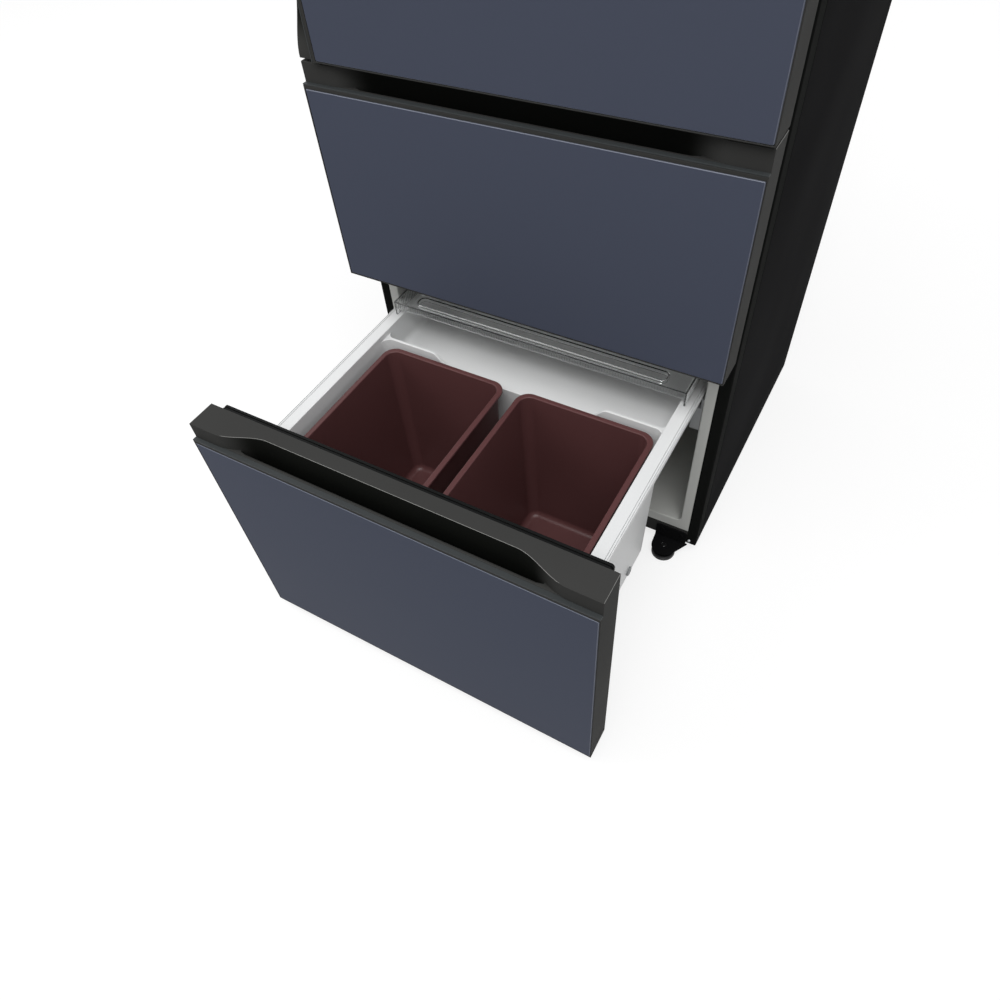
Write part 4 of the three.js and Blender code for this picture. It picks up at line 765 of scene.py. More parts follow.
@dataclass
class FrontPanel:
    """A drawer's or door's front, made with its cap along the top. y = 0 is the face of its glass."""

    name: str
    body: str
    half: float
    bottom: float
    top: float
    grip_shift: float = 0.0
    thickness: float = 57.0
    lip_drop: float = 28.0
    lip_depth: float = 15.0
    cap_setback: float = 7.5
    grip_setback: float = 32.0
    grip_depth: float = 66.0
    flat: float = 212.0
    length: float = 298.0
    glass_thickness: float = 3.7
    glass_drop: float = 35.5
    border: float = 2.0
    strip: float = 2.0
    strip_depth: float = 8.5
    lip_round: float = 5.5
    lap: float = 2.5
    fit: float = 0.3

    def setback(self, distance: float) -> float:
        """How far the cap's face stands behind the glass, at a distance from the grip's middle."""
        t = min(max((distance - self.flat) / (self.length - self.flat), 0.0), 1.0)
        return self.grip_setback + (self.cap_setback - self.grip_setback) * ease(t)

    def curve(self, least: float = 0.0, most: float = math.inf) -> list[Point]:
        """The cap's face from left to right as (x, y), held between two depths.

        Args:
            least: Points nearer the glass than this are dropped.
            most: Points deeper than this are brought forward to it.

        Returns:
            The points, from left to right.
        """
        low, high = self.flat, self.length
        reach = [low + (high - low) * i / 28 for i in range(29)]
        for _ in range(40):
            middle = (low + high) / 2
            low, high = (middle, high) if self.setback(middle) > self.pocket_start else (low, middle)
        reach = sorted([d for d in reach if abs(d - low) > 0.8] + [low])
        distances = [-d for d in reversed(reach)] + reach
        return [(self.grip_shift + d, min(self.setback(abs(d)), most)) for d in distances
                if self.setback(abs(d)) > least - 1e-6]

    @property
    def pocket_start(self) -> float:
        """Depth behind the glass at which the pocket opens beside the strip."""
        return self.lip_depth + self.lap

    def frame(self) -> Piece:
        """Model the frame: cap, grip pocket, lip and the seat of the glass.

        Returns:
            The frame.
        """
        half, top = self.half, self.top
        body = Piece.block(self.name + "_frame", (-half, half), (0, self.thickness), (self.bottom, top))
        face = [(-half - 2, self.cap_setback), *self.curve(), (half + 2, self.cap_setback)]
        over = Piece.prism("over_lip", "z", [(-half - 2, -2), *face, (half + 2, -2)][::-1],
                           top - self.lip_drop, top + 2)
        seat = Piece.block("seat", (-half + self.border - self.fit, half - self.border + self.fit),
                           (-2, self.glass_thickness + self.fit),
                           (self.bottom + self.border - self.fit, top - self.glass_drop + self.fit))
        ledge = self.ledge("ledge", 2.0, top - self.lip_drop - self.strip - 0.1, top - self.lip_drop + 1)
        body.carve(over, self.pocket(), seat, ledge)
        lip = top - self.lip_drop
        return body.round_edges(lambda m, d: abs(m.z - lip) > NEAR or m.y > self.strip_depth + 0.6, 0.6, 3)

    def pocket(self) -> Piece:
        """Shape what is cut out for the fingers. It widens at the top, so that the lip's rear edge is round.

        Returns:
            The cutter.
        """
        deep = self.curve(least=self.pocket_start)
        low, lip, r = self.top - self.grip_depth, self.top - self.lip_drop, self.lip_round
        fade = [14 * i / 6 for i in range(7)]

        def outline(widening: float) -> list[Point]:
            """The pocket's outline, widened towards the front away from its ends."""
            front = [(deep[0][0] + d, self.lip_depth - widening * ease(d / 14)) for d in fade]
            front += [(deep[-1][0] - d, self.lip_depth - widening * ease(d / 14)) for d in reversed(fade)]
            return front + deep[::-1]

        levels = [(low, outline(0.0)), (lip - r, outline(0.0))]
        for i in range(1, 7):
            angle = i * math.pi / 12
            levels.append((lip - r + r * math.sin(angle), outline(r * (1 - math.cos(angle)))))
        levels.append((lip + 0.5, outline(r)))
        cutter = Piece.loft("pocket", "z", levels)
        return cutter.round_edges(lambda m, d: abs(m.z - low) < NEAR and abs(d.z) < 0.1, 1.0, 3)

    def in_grip(self, spot: Vector) -> bool:
        """Whether a face of the frame belongs to the grip, the pocket and the face over it, which take the
        painted shade.
        """
        inside = self.strip_depth + 0.3 < spot.y < self.grip_setback + 1.5
        return inside and self.top - self.grip_depth - 1 < spot.z < self.top - 0.7

    def on_edge(self, spot: Vector) -> bool:
        """Whether a face of the frame belongs to the rounded edge along the top of the grip's face, which takes
        the painted highlight.
        """
        level = self.top - 0.4 < spot.z < self.top - 0.01
        return level and self.cap_setback + 2 < spot.y < self.grip_setback + 0.5

    def ledge(self, name: str, grow: float, low: float, high: float) -> Piece:
        """Outline the lip's top, which the painted strip lies in.

        Args:
            name: Name of the piece.
            grow: How far it reaches past the front and the ends.
            low: Its underside.
            high: Its top.

        Returns:
            The plate.
        """
        end = self.half + grow
        points = [(-end, -grow), (end, -grow), (end, self.cap_setback),
                  *reversed(self.curve(most=self.strip_depth)), (-end, self.cap_setback)]
        return Piece.prism(name, "z", points, low, high)

    def glass(self) -> Piece:
        """Model the glass panel with its ground edge."""
        half = self.half - self.border
        panel = Piece.block(self.name + "_glass", (-half, half), (0, self.glass_thickness),
                            (self.bottom + self.border, self.top - self.glass_drop))
        panel.round_edges(lambda m, d: abs(d.y) > 0.9, 2.5, 4)
        return panel.round_edges(lambda m, d: abs(m.y) < NEAR and abs(d.y) < 0.1, 1.3, 1)

    def build(self, matrix: Matrix, nodes: Sequence[str]) -> None:
        """Make the front's three pieces and put them in place.

        Args:
            matrix: From the panel's own place to the frame, in metres.
            nodes: The CAD nodes of its frame and glass.
        """
        top = self.top - self.lip_drop
        back = matrix.inverted()
        depth = matrix.translation.y / MM
        # Painted shade: the grip's faces take the charcoal faded to near black with depth behind the glass,
        # standing in for the pocket's shadow.
        grip = replace(CHARCOAL_ABS, name=self.name + "_grip_painted_shade", fade=(depth + 7, depth + 27, GRIP_PAINTED_SHADE))
        strip = self.ledge(self.name + "_grip_strip", 0.0, top - self.strip, top)
        self.frame().shade().place_mesh(matrix).dress(
            self.body, CHARCOAL_ABS, nodes[0],
            accents=[(grip, lambda c, n: self.in_grip(back @ (c * MM) / MM)),
                     # Painted highlight along the rounded edge over the grip.
                     (GRIP_EDGE_PAINTED_HIGHLIGHT, lambda c, n: self.on_edge(back @ (c * MM) / MM))])
        strip.soften(0.6, 2).shade().place_mesh(matrix).dress(self.body, GRIP_PAINT)
        self.glass().shade(20).place_mesh(matrix).dress(
            self.body, ETCHED_GLASS, nodes[1],
            # The chamfer is the real ground edge, painted lighter as a painted highlight.
            accents=[(GROUND_GLASS_EDGE_AND_HIGHLIGHT, lambda c, n: slanted(n))])


@dataclass
class Seal:
    """The bellows seal behind a front, as a frame in the X-Z plane."""

    node: str
    body: str
    half: float
    low: float
    high: float
    front: float
    back: float
    width: float = 18.0

    def build(self) -> None:
        """Make the ring with its grooves and dress it."""
        half, low, high, w, y = self.half, self.low, self.high, self.width, self.front
        ring = Piece.prism(self.node + "_ring", "y", rounded((-half, half), (low, high), 6), y, self.back)
        mouth = rounded((w - half, half - w), (low + w, high - w), 6)
        ring.carve(Piece.prism("hole", "y", mouth, y - 1, self.back + 1))
        ring.groove_bands([(y + 2.2, y + 4.4), (y + 7.2, y + 9.2)], 2.2)
        ring.soften(0.4, 2).shade().dress(self.body, SOFT_PVC, self.node)


def build_fronts() -> None:
    """Make the lower, middle and upper fronts with their seals and inner panels."""
    half, seal_half, edge = 347.5, 334, 7.5
    shut = -128.5
    seal = (57.3, 70.7)
    panel_back = 91.5
    drawers = [("lower", 28.5, 525.5, 68.5, -554.5), ("middle", 530.0, 885.0, 530.0 + edge, shut)]
    for name, bottom, top, seal_low, face in drawers:
        body = name + "_drawer"
        panel = FrontPanel(name + "_front", body, half, bottom, top)
        panel.build(shift(0, face, 0), (body + "_front", body + "_glass"))
        Seal(body + "_gasket", body, seal_half, seal_low, top - edge, face + seal[0], face + seal[1]).build()
        inner = Piece.copy_of(body + "_inner_panel", name + "_inner_panel")
        inner.round_edges(lambda m, d: m.y > face + panel_back, 7.0, 4)
        inner.soften(1.0, 2).shade().dress(body, FORMED_LINING, body + "_inner_panel")
    door_low, door_high = 889.5, 1834.0
    tall = (door_high - door_low) / 2
    door = FrontPanel("door_front", "upper_door", tall, -half, half, grip_shift=-174)
    turn = shift(0, shut, (door_low + door_high) / 2) @ Matrix.Rotation(-math.pi / 2, 4, "Y")
    door.build(turn, ("door_frame", "door_glass"))
    Seal("door_gasket", "upper_door", seal_half, door_low + edge, door_high - edge, shut + seal[0],
         shut + seal[1]).build()
    soft_copy("door_inner_liner", "door_lining", 1.2, "upper_door", FORMED_LINING, 3)
    for name in ("door_bin_upper", "door_bin_lower"):
        soft_copy(name, name + "_clear", 0.7, name, CLEAR_STYRENE)


# ---- Cabinet --------------------------------------------------------------------------------------------


@dataclass
class Screw:
    """A pan-head screw with a cross recess, lying flush in the hole that it is shown in."""

    radius: float = 4.0
    height: float = 2.2
    slot: float = 1.1

    def build(self) -> Piece:
        """Model one screw whose head faces -Y, with its seat at the origin.

        Returns:
            The screw, to be copied.
        """
        r, h = self.radius, self.height
        head = Piece.turned("screw", "y", [(0.01, 0), (r, 0), (r, -h * 0.35), (r * 0.8, -h * 0.85),
                                           (r * 0.45, -h), (0.01, -h)], (0, 0), 24)
        reach, s = r * 0.6, self.slot / 2
        head.carve(Piece.block("cut", (-reach, reach), (-h - 1, -h * 0.45), (-s, s)),
                   Piece.block("cut", (-s, s), (-h - 1, -h * 0.45), (-reach, reach)))
        return head.shade()


@dataclass
class Cabinet:
    """Case, base, rear and machine-room cover."""

    half: float = 347.5
    front: float = -57.5
    back: float = 554.5
    bottom: float = 30.0
    top: float = 1836.0
    face: float = 20.2
    sheet: float = 1.0
    edge: float = 2.4
    seam: Span = (-24.0, -21.6)
    seam_depth: float = 0.8
    rear_band: Span = (1090.0, 1150.0)
    field_border: float = 42.0
    field_depth: float = 0.9

    def arch(self, inner: float, crown: float) -> list[Point]:
        """Outline an arch of the case between its outside and an inner half width and crown."""
        h, b = self.half, self.bottom
        return [(-h, b), (-inner, b), (-inner, crown), (inner, crown), (inner, b), (h, b), (h, self.top),
                (-h, self.top)]

    def case(self) -> None:
        """Make the folded case with its rounded corners."""
        skin = Piece.prism("case_shell", "y", self.arch(self.half - self.sheet, self.top - self.sheet),
                           self.front, self.back)
        fold = Piece.prism("fold", "y", self.arch(self.half - self.face, self.top - self.face),
                           self.front, self.front + self.sheet)
        skin.fuse(fold)

        def corner(m: Vector, d: Vector) -> bool:
            """Whether an edge is on the outside of the front, or runs back along the top."""
            side, crown, nose = abs(m.x) > self.half - NEAR, m.z > self.top - NEAR, m.y < self.front + NEAR
            return (nose and (side or crown)) or (side and crown)

        skin.round_edges(corner, self.edge, 5)
        h = self.half
        skin.carve(*[Piece.block("seam", span(s * (h - self.seam_depth), s * (h + 1)), self.seam,
                                 (self.bottom - 1, self.top + 1)) for s in (-1, 1)])
        # Painted light: the strip in front of the fold line takes a lighter copy of the coat.
        skin.shade(50).dress("cabinet", COATED_STEEL, "outer_case",
                             accents=[(FOLDED_STEEL_PAINTED_LIGHT, lambda c, n: c.y < self.seam[1] + NEAR)])

    def rear(self, screw: Piece) -> None:
        """Make the rear sheet with its two pressed fields and sunk screws, and the louvred cover below it.

        Args:
            screw: The screw to copy.
        """
        y0, y1 = self.back - 1, self.back
        sheet = Piece.block("rear_sheet", (-346.2, 346.2), (y0 - 1.8, y1), (330, 1834.7))
        with sheet.editing("FACE"):
            for z in self.rear_band:
                pick_all()
                bpy.ops.mesh.bisect(plane_co=(0, 0, z * MM), plane_no=(0, 0, 1))
        low, high = self.rear_band
        sheet.sink_faces(lambda c, n: n.y > 0.9 and not low < c.z < high, self.field_border, self.field_depth)
        spots = [(x, z) for z in (348, 1120, 1818) for x in (-300, 0, 300)]
        spots += [(x, z) for z in (730, 1480) for x in (-331, 331)]
        low_spots = [(x, z) for z in (48, 312) for x in (-331, 0, 331)]
        cover = Piece.copy_of("machine_cover", "louvred_cover")
        dimple = [(0.01, y1 - 2.4), (5.0, y1 - 2.4), (6.4, y1 + 1), (0.01, y1 + 1)]
        for target, places in ((sheet, spots), (cover, low_spots)):
            target.carve(*[Piece.turned("dimple", "y", dimple, spot, 24) for spot in places])
        sheet.soften(0.35, 2).shade().dress("cabinet", COATED_STEEL, "rear_panel")
        cover.soften(0.3, 2).shade().dress("cabinet", COATED_STEEL, "machine_cover")
        turn = Matrix.Rotation(math.pi, 4, "Z")
        for number, (x, z) in enumerate(spots + low_spots, 1):
            screw.moved(f"rear_screw_{number}", shift(x, y1 - 2.45, z) @ turn).dress("cabinet", ZINC_PLATE)

    def build(self, screw: Piece) -> None:
        """Make the cabinet's outside and dress what is hidden in it.

        Args:
            screw: The screw to copy.
        """
        self.case()
        self.rear(screw)
        pan = Piece.copy_of("base_pan", "base_sheet").soften(0.4, 2).shade()
        # Painted light: the forward-facing faces of the steel base pan take the lighter charcoal finish for the
        # light that they catch.
        pan.dress("cabinet", COATED_STEEL, "base_pan",
                  accents=[(CHARCOAL_ABS, lambda c, n: n.y < -0.9 and c.y < self.front + 5)])
        soft_copy("power_inlet", "inlet_socket", 0.8, "cabinet", BLACK_ABS)
        soft_copy("compressor", "compressor_shell", 1.5, "cabinet", COATED_STEEL)
        hidden = {BLOWN_FOAM: ("foam_body",), ZINC_PLATE: ("fan_motor",),
                  BLACK_ABS: ("drain_pan", "condenser_fan"),
                  FIN_ALUMINIUM: ("upper_evaporator", "middle_evaporator", "lower_evaporator", "condenser")}
        for finish, names in hidden.items():
            for name in names:
                paint_node(name, finish)


def paint_node(name: str, finish: Finish) -> None:
    """Give a CAD node that stays in view its finish."""
    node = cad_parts[name]
    if not node.material_slots:
        node.data.materials.append(finish.material())
    for holder in node.material_slots:
        holder.material = finish.material()
    LOG.info("%s: CAD node painted %s", name, finish.name)


@dataclass
class Lining:
    """The formed lining of one compartment: a box open to the front with a flange round its mouth."""

    node: str
    floor: float
    ceiling: float
    flange_low: float
    flange_high: float
    step: tuple[float, float] | None = None
    shelves: tuple[float, ...] = ()
    half: float = 308.0
    flange: float = 327.0
    front: float = -57.5
    back: float = 492.5
    wall: float = 2.0
    corner: float = 12.0
    shelf_rest: Span = (92.5, 438.2)
    shelf_fit: float = 0.3
    ledge: float = 14.0

    def build(self) -> None:
        """Make the lining with its rolled mouth and coved corners."""
        w, y0, y1 = self.wall, self.front, self.back
        skin = rounded((-self.half - w, self.half + w), (self.floor - w, self.ceiling + w), self.corner + w)
        shell = Piece.prism(self.node + "_formed", "y", skin, y0, y1 + w)
        if self.step:
            shell.carve(Piece.block("step", (-400, 400), (self.step[0] + w, y1 + 60), (0, self.step[1] - w)))
        shell.fuse(Piece.block("flange", (-self.flange, self.flange), (y0, y0 + w),
                               (self.flange_low, self.flange_high)))
        room = rounded((-self.half, self.half), (self.floor, self.ceiling), self.corner)
        hollow = Piece.prism("hollow", "y", room, y0 - 5, y1)
        if self.step:
            hollow.carve(Piece.block("step", (-400, 400), (self.step[0], y1 + 60), (0, self.step[1])))
        for z in self.shelves:
            under = z - self.shelf_fit
            for side in (-1, 1):
                hollow.carve(Piece.block("ledge", span(side * (self.half - 9), side * (self.half + 1)),
                                         self.shelf_rest, (under - self.ledge, under)))
        hollow.round_edges(lambda m, d: abs(m.y - y1) < NEAR, 8.0, 4)
        shell.carve(hollow)

        def mouth(m: Vector, d: Vector) -> bool:
            """Whether an edge runs round the mouth of the compartment."""
            return m.y < y0 + SNAP and abs(m.x) < self.half + 1 and self.floor - 1 < m.z < self.ceiling + 1

        shell.round_edges(mouth, 2.6, 4)
        shell.shade(50).dress("cabinet", FORMED_LINING, self.node)


def build_linings() -> None:
    """Make the three linings."""
    Lining("lower_liner", 90, 498, 67.3, 527.5, step=(320.5, 362)).build()
    Lining("middle_liner", 557, 857.5, 527.8, 887.0).build()
    Lining("upper_liner", 915, 1796, 887.3, 1815.5, shelves=(1210, 1510)).build()


@dataclass
class Foot:
    """The right-hand levelling foot with the steel bracket that it screws into."""

    x: float = 289.5
    y: float = -80.1
    plate: Span = (23.0, 26.0)
    nose: float = 25.5
    inner: float = 262.0
    outer: float = 331.0
    back: float = -57.8
    tab_top: float = 60.0
    tab_screws: tuple[float, float] = (276.0, 316.0)
    corner_screw: tuple[float, float, float] = (333.0, -57.5, 39.0)
    # Painted highlight: places of two small zinc dots on the plate, for the highlights on the screw end of the
    # foot's stem.
    highlight_dots: tuple[Point, Point] = ((-4.0, 3.0), (1.0, -4.0))

    def bracket(self) -> Piece:
        """Model the bracket: a plate with a round nose and the tab on the base bar.

        Returns:
            The bracket.
        """
        def bearing(corner: float, sign: float) -> float:
            """The angle at which the nose meets the straight side that runs to a rear corner."""
            dx, dy = corner - self.x, self.back - self.y
            return math.atan2(dy, dx) + sign * math.acos(min(1.0, self.nose / math.hypot(dx, dy)))

        start = bearing(self.inner, 1.0)
        end = bearing(self.outer, -1.0) + 2 * math.pi
        nose = [(self.x + self.nose * math.cos(start + (end - start) * i / 40),
                 self.y + self.nose * math.sin(start + (end - start) * i / 40)) for i in range(41)]
        plate = Piece.prism("foot_plate_right", "z", [*nose, (self.outer, self.back), (self.inner, self.back)],
                            *self.plate)
        tab = Piece.block("tab", (self.inner, 327), (self.back - 3, self.back), (self.plate[0], self.tab_top))
        tab.round_edges(lambda m, d: abs(d.y) > 0.9 and m.z > self.tab_top - 1, 6, 4)
        plate.fuse(tab)
        rim = self.plate[1] - 0.1
        return plate.round_edges(lambda m, d: m.z > 32 or (m.y < self.back - 5 and m.z > rim), 0.8, 3).shade()

    def sole(self) -> Piece:
        """Model the foot: a ribbed disc, a neck and the end of its screw.

        Returns:
            The foot.
        """
        ribs = [(24, 3), (24, 5), (22.9, 5.6), (22.9, 6.4), (24, 7), (24, 9), (22.9, 9.6), (22.9, 10.3)]
        neck = [(20, 13), (14.5, 13), (13, 14.5), (13, 21.6), (12, 22.7), (5, 22.7)]
        profile = [(0.01, 0), (21.5, 0), (23.4, 1.2), *ribs, (23.6, 10.9), (22.6, 12.6), *neck, (5, 26.2),
                   (4.5, 26.6), (0.01, 26.6)]
        return Piece.turned("foot_sole_right", "z", profile, (self.x, self.y), 64).shade(35)

    def build(self, screw: Piece) -> None:
        """Make both feet.

        Args:
            screw: The screw to copy.
        """
        bracket, sole = self.bracket(), self.sole()
        pairs = {"right": (1, bracket, sole),
                 "left": (-1, bracket.mirrored("foot_plate_left"), sole.mirrored("foot_sole_left"))}
        small, flat = Matrix.Scale(0.85, 4), Matrix.Rotation(-math.pi / 2, 4, "X") @ Matrix.Scale(0.4, 4)
        for side, (sign, bracket, sole) in pairs.items():
            bracket.dress("cabinet", COATED_STEEL, "foot_bracket_" + side)
            sole.dress("levelling_foot_" + side, BLACK_ABS, "levelling_foot_" + side)
            for number, x in enumerate(self.tab_screws, 1):
                spot = shift(sign * x, self.back - 3, self.tab_top - 10)
                screw.moved(f"foot_screw_{side}_{number}", spot).dress("cabinet", COATED_STEEL)
            x, y, z = self.corner_screw
            screw.moved("corner_screw_" + side, shift(sign * x, y, z) @ small).dress("cabinet", ZINC_PLATE)
            # Painted highlight: two flattened zinc screws for the glints on the end of the foot's stem.
            for number, (dx, dy) in enumerate(self.highlight_dots, 1):
                spot = shift(sign * (self.x + dx), self.y + dy, self.plate[1] - 0.3)
                screw.moved(f"foot_rivet_{side}_{number}", spot @ flat).dress("cabinet", ZINC_PLATE)


@dataclass
class Roller:
    """A small wheel that turns on a pin along X."""

    body: str
    centre: tuple[float, float, float]
    radius: float
    width: float
    bore: float = 3.3

    def build(self) -> None:
        """Make the wheel with a grooved tread and dished sides."""
        x, y, z = self.centre
        r, h, b = self.radius, self.width / 2, self.bore
        side = [(b, h), (r * 0.42, h), (r * 0.5, h - 1), (r * 0.74, h - 1), (r * 0.8, h), (r - 0.9, h),
                (r, h - 0.9), (r, h * 0.25), (r - 0.7, h * 0.12)]
        profile = [(q, -a) for q, a in side] + side[::-1]
        wheel = Piece.turned(self.body + "_wheel", "x", [(q, x + a) for q, a in profile], (y, z))
        wheel.shade(35).dress(self.body, BLACK_ABS, self.body)


@dataclass
class Rails:
    """The two guide rails of one drawer and their rollers."""

    drawer: str
    bracket_low: float
    roller: float

    def build(self) -> None:
        """Make the rails with the rounded ends of their brackets, and the rollers."""
        for side, sign in SIDES:
            node = f"{self.drawer}_rail_{side}"
            rail = Piece.copy_of(node, node + "_guide")
            rail.round_edges(lambda m, d: abs(m.z - self.bracket_low) < NEAR and abs(d.x) > 0.9 and m.y < 0,
                             14, 6)
            rail.soften(0.7, 2).shade().dress("cabinet", ACETAL, node)
            Roller(f"{self.drawer}_roller_{side}", (sign * 297, -41.5, self.roller), 11, 10).build()


# ---- What the drawers hold ------------------------------------------------------------------------------


@dataclass
class Basket:
    """A drawer's basket with broad side rims. The lower one has a raised tray behind its deep part."""

    drawer: str
    bottom: float
    top: float
    front: float
    deep_back: float
    back: float
    lean: float = 0.0
    tray: float | None = None
    half_top: float = 280.0
    half_bottom: float = 270.0
    rim: float = 304.0
    rim_height: float = 12.0
    wall: float = 3.0
    radius: float = 18.0
    rib: float = 5.0
    rib_side: float = 11.5
    rib_middle: float = 40.0
    corner: float = 14.0
    grooves: tuple[float, float] = (302.0, 298.4)
    groove_half: float = 0.6
    groove_depth: float = 2.4
    shoe_end: float = 303.0

    def ring(self, z: float, inset: float) -> list[Point]:
        """The outline of the deep part at a height, drawn in by an inset."""
        share = (z - self.bottom) / (self.top - self.bottom)
        half = self.half_bottom + share * (self.half_top - self.half_bottom) - inset
        back = self.deep_back - (1 - share) * self.lean - inset
        return rounded((-half, half), (self.front + inset, back), self.radius - inset * 0.5)

    def tub(self, name: str, z0: float, z1: float, inset: float, fillet: float) -> Piece:
        """A tapered solid of the deep part with a rounded bottom edge."""
        piece = Piece.prism(name, "z", self.ring(z0, inset), z0, z1, top=self.ring(z1, inset))
        return piece.round_edges(at_z(z0), fillet, 5)

    def rib_cutter(self) -> Piece:
        """What is cut away above the rib: low in the middle, rising in an S to the sides."""
        rise, end = self.rib_middle - self.rib_side, self.half_top - self.wall
        line = [(138 + 37 * i / 12, self.top - self.rib_middle + ease(i / 12) * rise) for i in range(13)]
        right = [*line, (end, self.top - self.rib_side)]
        points = [*[(-x, z) for x, z in reversed(right)], *right, (end, self.top + 2), (-end, self.top + 2)]
        return Piece.prism("rib_cut", "y", points, self.deep_back - self.wall - self.radius,
                           self.deep_back + self.rib - self.wall + self.corner)

    def rim_outline(self, side: int) -> list[Point]:
        """The section of a side rim, with the two fine grooves along its top."""
        top, root = self.top, self.half_top - self.radius - 6
        under, floor = top - self.rim_height, top - self.groove_depth
        line = [(root, under), (self.rim, under), (self.rim, top)]
        for x in self.grooves:
            near, far = x - self.groove_half, x + self.groove_half
            line += [(far, top), (far, floor), (near, floor), (near, top)]
        return [(side * x, z) for x, z in (*line, (root, top))]

    def build(self) -> None:
        """Make the basket: shells, rims with their grooves, tray and rib."""
        w, top = self.wall, self.top
        shell = self.tub(self.drawer + "_basket_moulding", self.bottom, top, 0, 8)
        shell.fuse(*[Piece.prism("rim", "y", self.rim_outline(side), self.front + 4, self.back - 4)
                     for side in (-1, 1)])
        insides = [self.tub("inside", self.bottom + w, top + 2, w, 10)]
        if self.tray:
            h = self.half_top
            shell.fuse(Piece.block("tray", (-h, h), (self.deep_back - self.rib, self.back), (self.tray, top)))
            hollow = rounded((-h + w, h - w), (self.deep_back + self.rib - w, self.back - w), self.corner)
            room = Piece.prism("room", "z", hollow, self.tray + w, top + 2)
            insides += [room.round_edges(at_z(self.tray + w), 12, 5), self.rib_cutter()]
        shoe = top - self.rim_height - 38
        shell.fuse(*[Piece.block("shoe", span(s * (self.half_top - w + 0.5), s * self.shoe_end),
                                 (self.back - 34, self.back - 4), (shoe, shoe + 22.4)) for s in (-1, 1)])
        shell.carve(*insides)
        low, high = min(self.grooves) - 1.4, self.rim - NEAR
        shell.round_edges(lambda m, d: not (low < abs(m.x) < high and m.z > top - 3), 1.1, 3)
        shell.clean().shade().dress(self.drawer + "_drawer", MOULDED_PP, self.drawer + "_basket")


@dataclass
class FoodTub:
    """A food container with a flat rim, tapered walls and rounded corners."""

    node: str
    x: Span
    y: Span
    bottom: float
    top: float
    rim: float = 7.0
    rim_height: float = 6.0
    wall: float = 2.5
    taper: float = 9.0
    radius: float = 26.0

    def ring(self, inset: float, radius: float) -> list[Point]:
        """The tub's outline drawn in by an inset."""
        (left, right), (front, back) = self.x, self.y
        return rounded((left + inset, right - inset), (front + inset, back - inset), radius, 10)

    def build(self) -> None:
        """Make the tub with its rim, its hollow and a shallow press at the front and back of its rim."""
        r = self.radius
        shell = Piece.prism(self.node + "_tub", "z", self.ring(self.rim + self.taper, r - 4), self.bottom,
                            self.top - 1.5, top=self.ring(self.rim, r - 4))
        shell.round_edges(at_z(self.bottom), 9, 4)
        shell.fuse(Piece.prism("rim", "z", self.ring(0, r), self.top - self.rim_height, self.top))
        wall = self.rim + self.wall
        inside = Piece.prism("inside", "z", self.ring(wall + self.taper, r - 7), self.bottom + self.wall,
                             self.top + 2, top=self.ring(wall, r - 7))
        shell.carve(inside.round_edges(at_z(self.bottom + self.wall), 12, 5))
        shell.soften(1.7, 4)
        middle = (self.x[0] + self.x[1]) / 2
        x, z = (middle - 26, middle + 26), (self.top - 0.8, self.top + 1)
        shell.carve(*[Piece.block("press", x, (y, y + 0.9), z) for y in (self.y[0] + 3.0, self.y[1] - 3.9)])
        shell.shade().dress(self.node, POLISHED_PP, self.node)


@dataclass
class SlidingCover:
    """The clear cover over the back of the lower drawer, with its finger slot and fine ribs."""

    half: float = 288.0
    low: float = 435.3
    high: float = 464.3
    front: float = -97.5
    back: float = 40.5
    sheet: float = 3.0
    slot_half: float = 245.0
    slot: Span = (-83.5, -62.5)
    pitch: float = 5.0

    def build(self) -> None:
        """Make the plate on its flanges, the collar of the slot, the apron and the ribs."""
        h, z0, z1, t = self.half, self.low, self.high, self.sheet
        section = [(-h, z0), (-h + t, z0), (-h + t, z1 - t), (h - t, z1 - t), (h - t, z0), (h, z0), (h, z1),
                   (-h, z1)]
        plate = Piece.prism("clear_cover", "y", section, self.front, self.back)

        def hole(grow: float) -> list[Point]:
            """The slot's outline, grown by a margin."""
            end, (front, back) = self.slot_half + grow, self.slot
            return rounded((-end, end), (front - grow, back + grow), 8 + grow)

        apron = (self.front + 1.4, self.front + 3.4)
        plate.fuse(Piece.prism("collar", "z", hole(3.0), z1 - 9, z1 - 0.5),
                   Piece.block("apron", (-h + 1, h - 1), apron, (z1 - 15, z1 - 1)))
        plate.carve(Piece.prism("slot", "z", hole(0), z0, z1 + 2))
        plate.soften(1.2, 2)
        count = int((2 * h - 20) / self.pitch)
        rib = Piece.prism("ribs", "z", [(-h + 10.8, self.front + 1.5), (-h + 11, self.front + 1.25),
                                        (-h + 11.2, self.front + 1.5)][::-1], z1 - 12, z1 - 5)
        rib.repeat(count, (self.pitch, 0, 0))
        sides = []
        for s in (-1, 1):
            points = [(self.front + 8, s * (h - t + 0.1)), (self.front + 9, s * (h - t - 1.3)),
                      (self.front + 10, s * (h - t + 0.1))]
            grip = Piece.prism("side_ribs", "z", [(x, y) for y, x in points], z0 + 2, z1 - 5)
            sides.append(grip.repeat(int((self.back - self.front - 16) / self.pitch), (0, self.pitch, 0)))
        plate.attach(rib, *sides)
        # Painted shade: the cover's top edges and the slot's walls are painted near black for the dark lines of
        # the clear edges.
        plate.shade().dress("lower_sliding_cover", CLEAR_STYRENE, "lower_sliding_cover",
                            accents=[(STYRENE_EDGE_PAINTED_SHADE, lambda c, n: z1 - 2.2 < c.z and n.z < 0.95
                                      and (c.y < self.front + 1.3 or slanted(n)))])


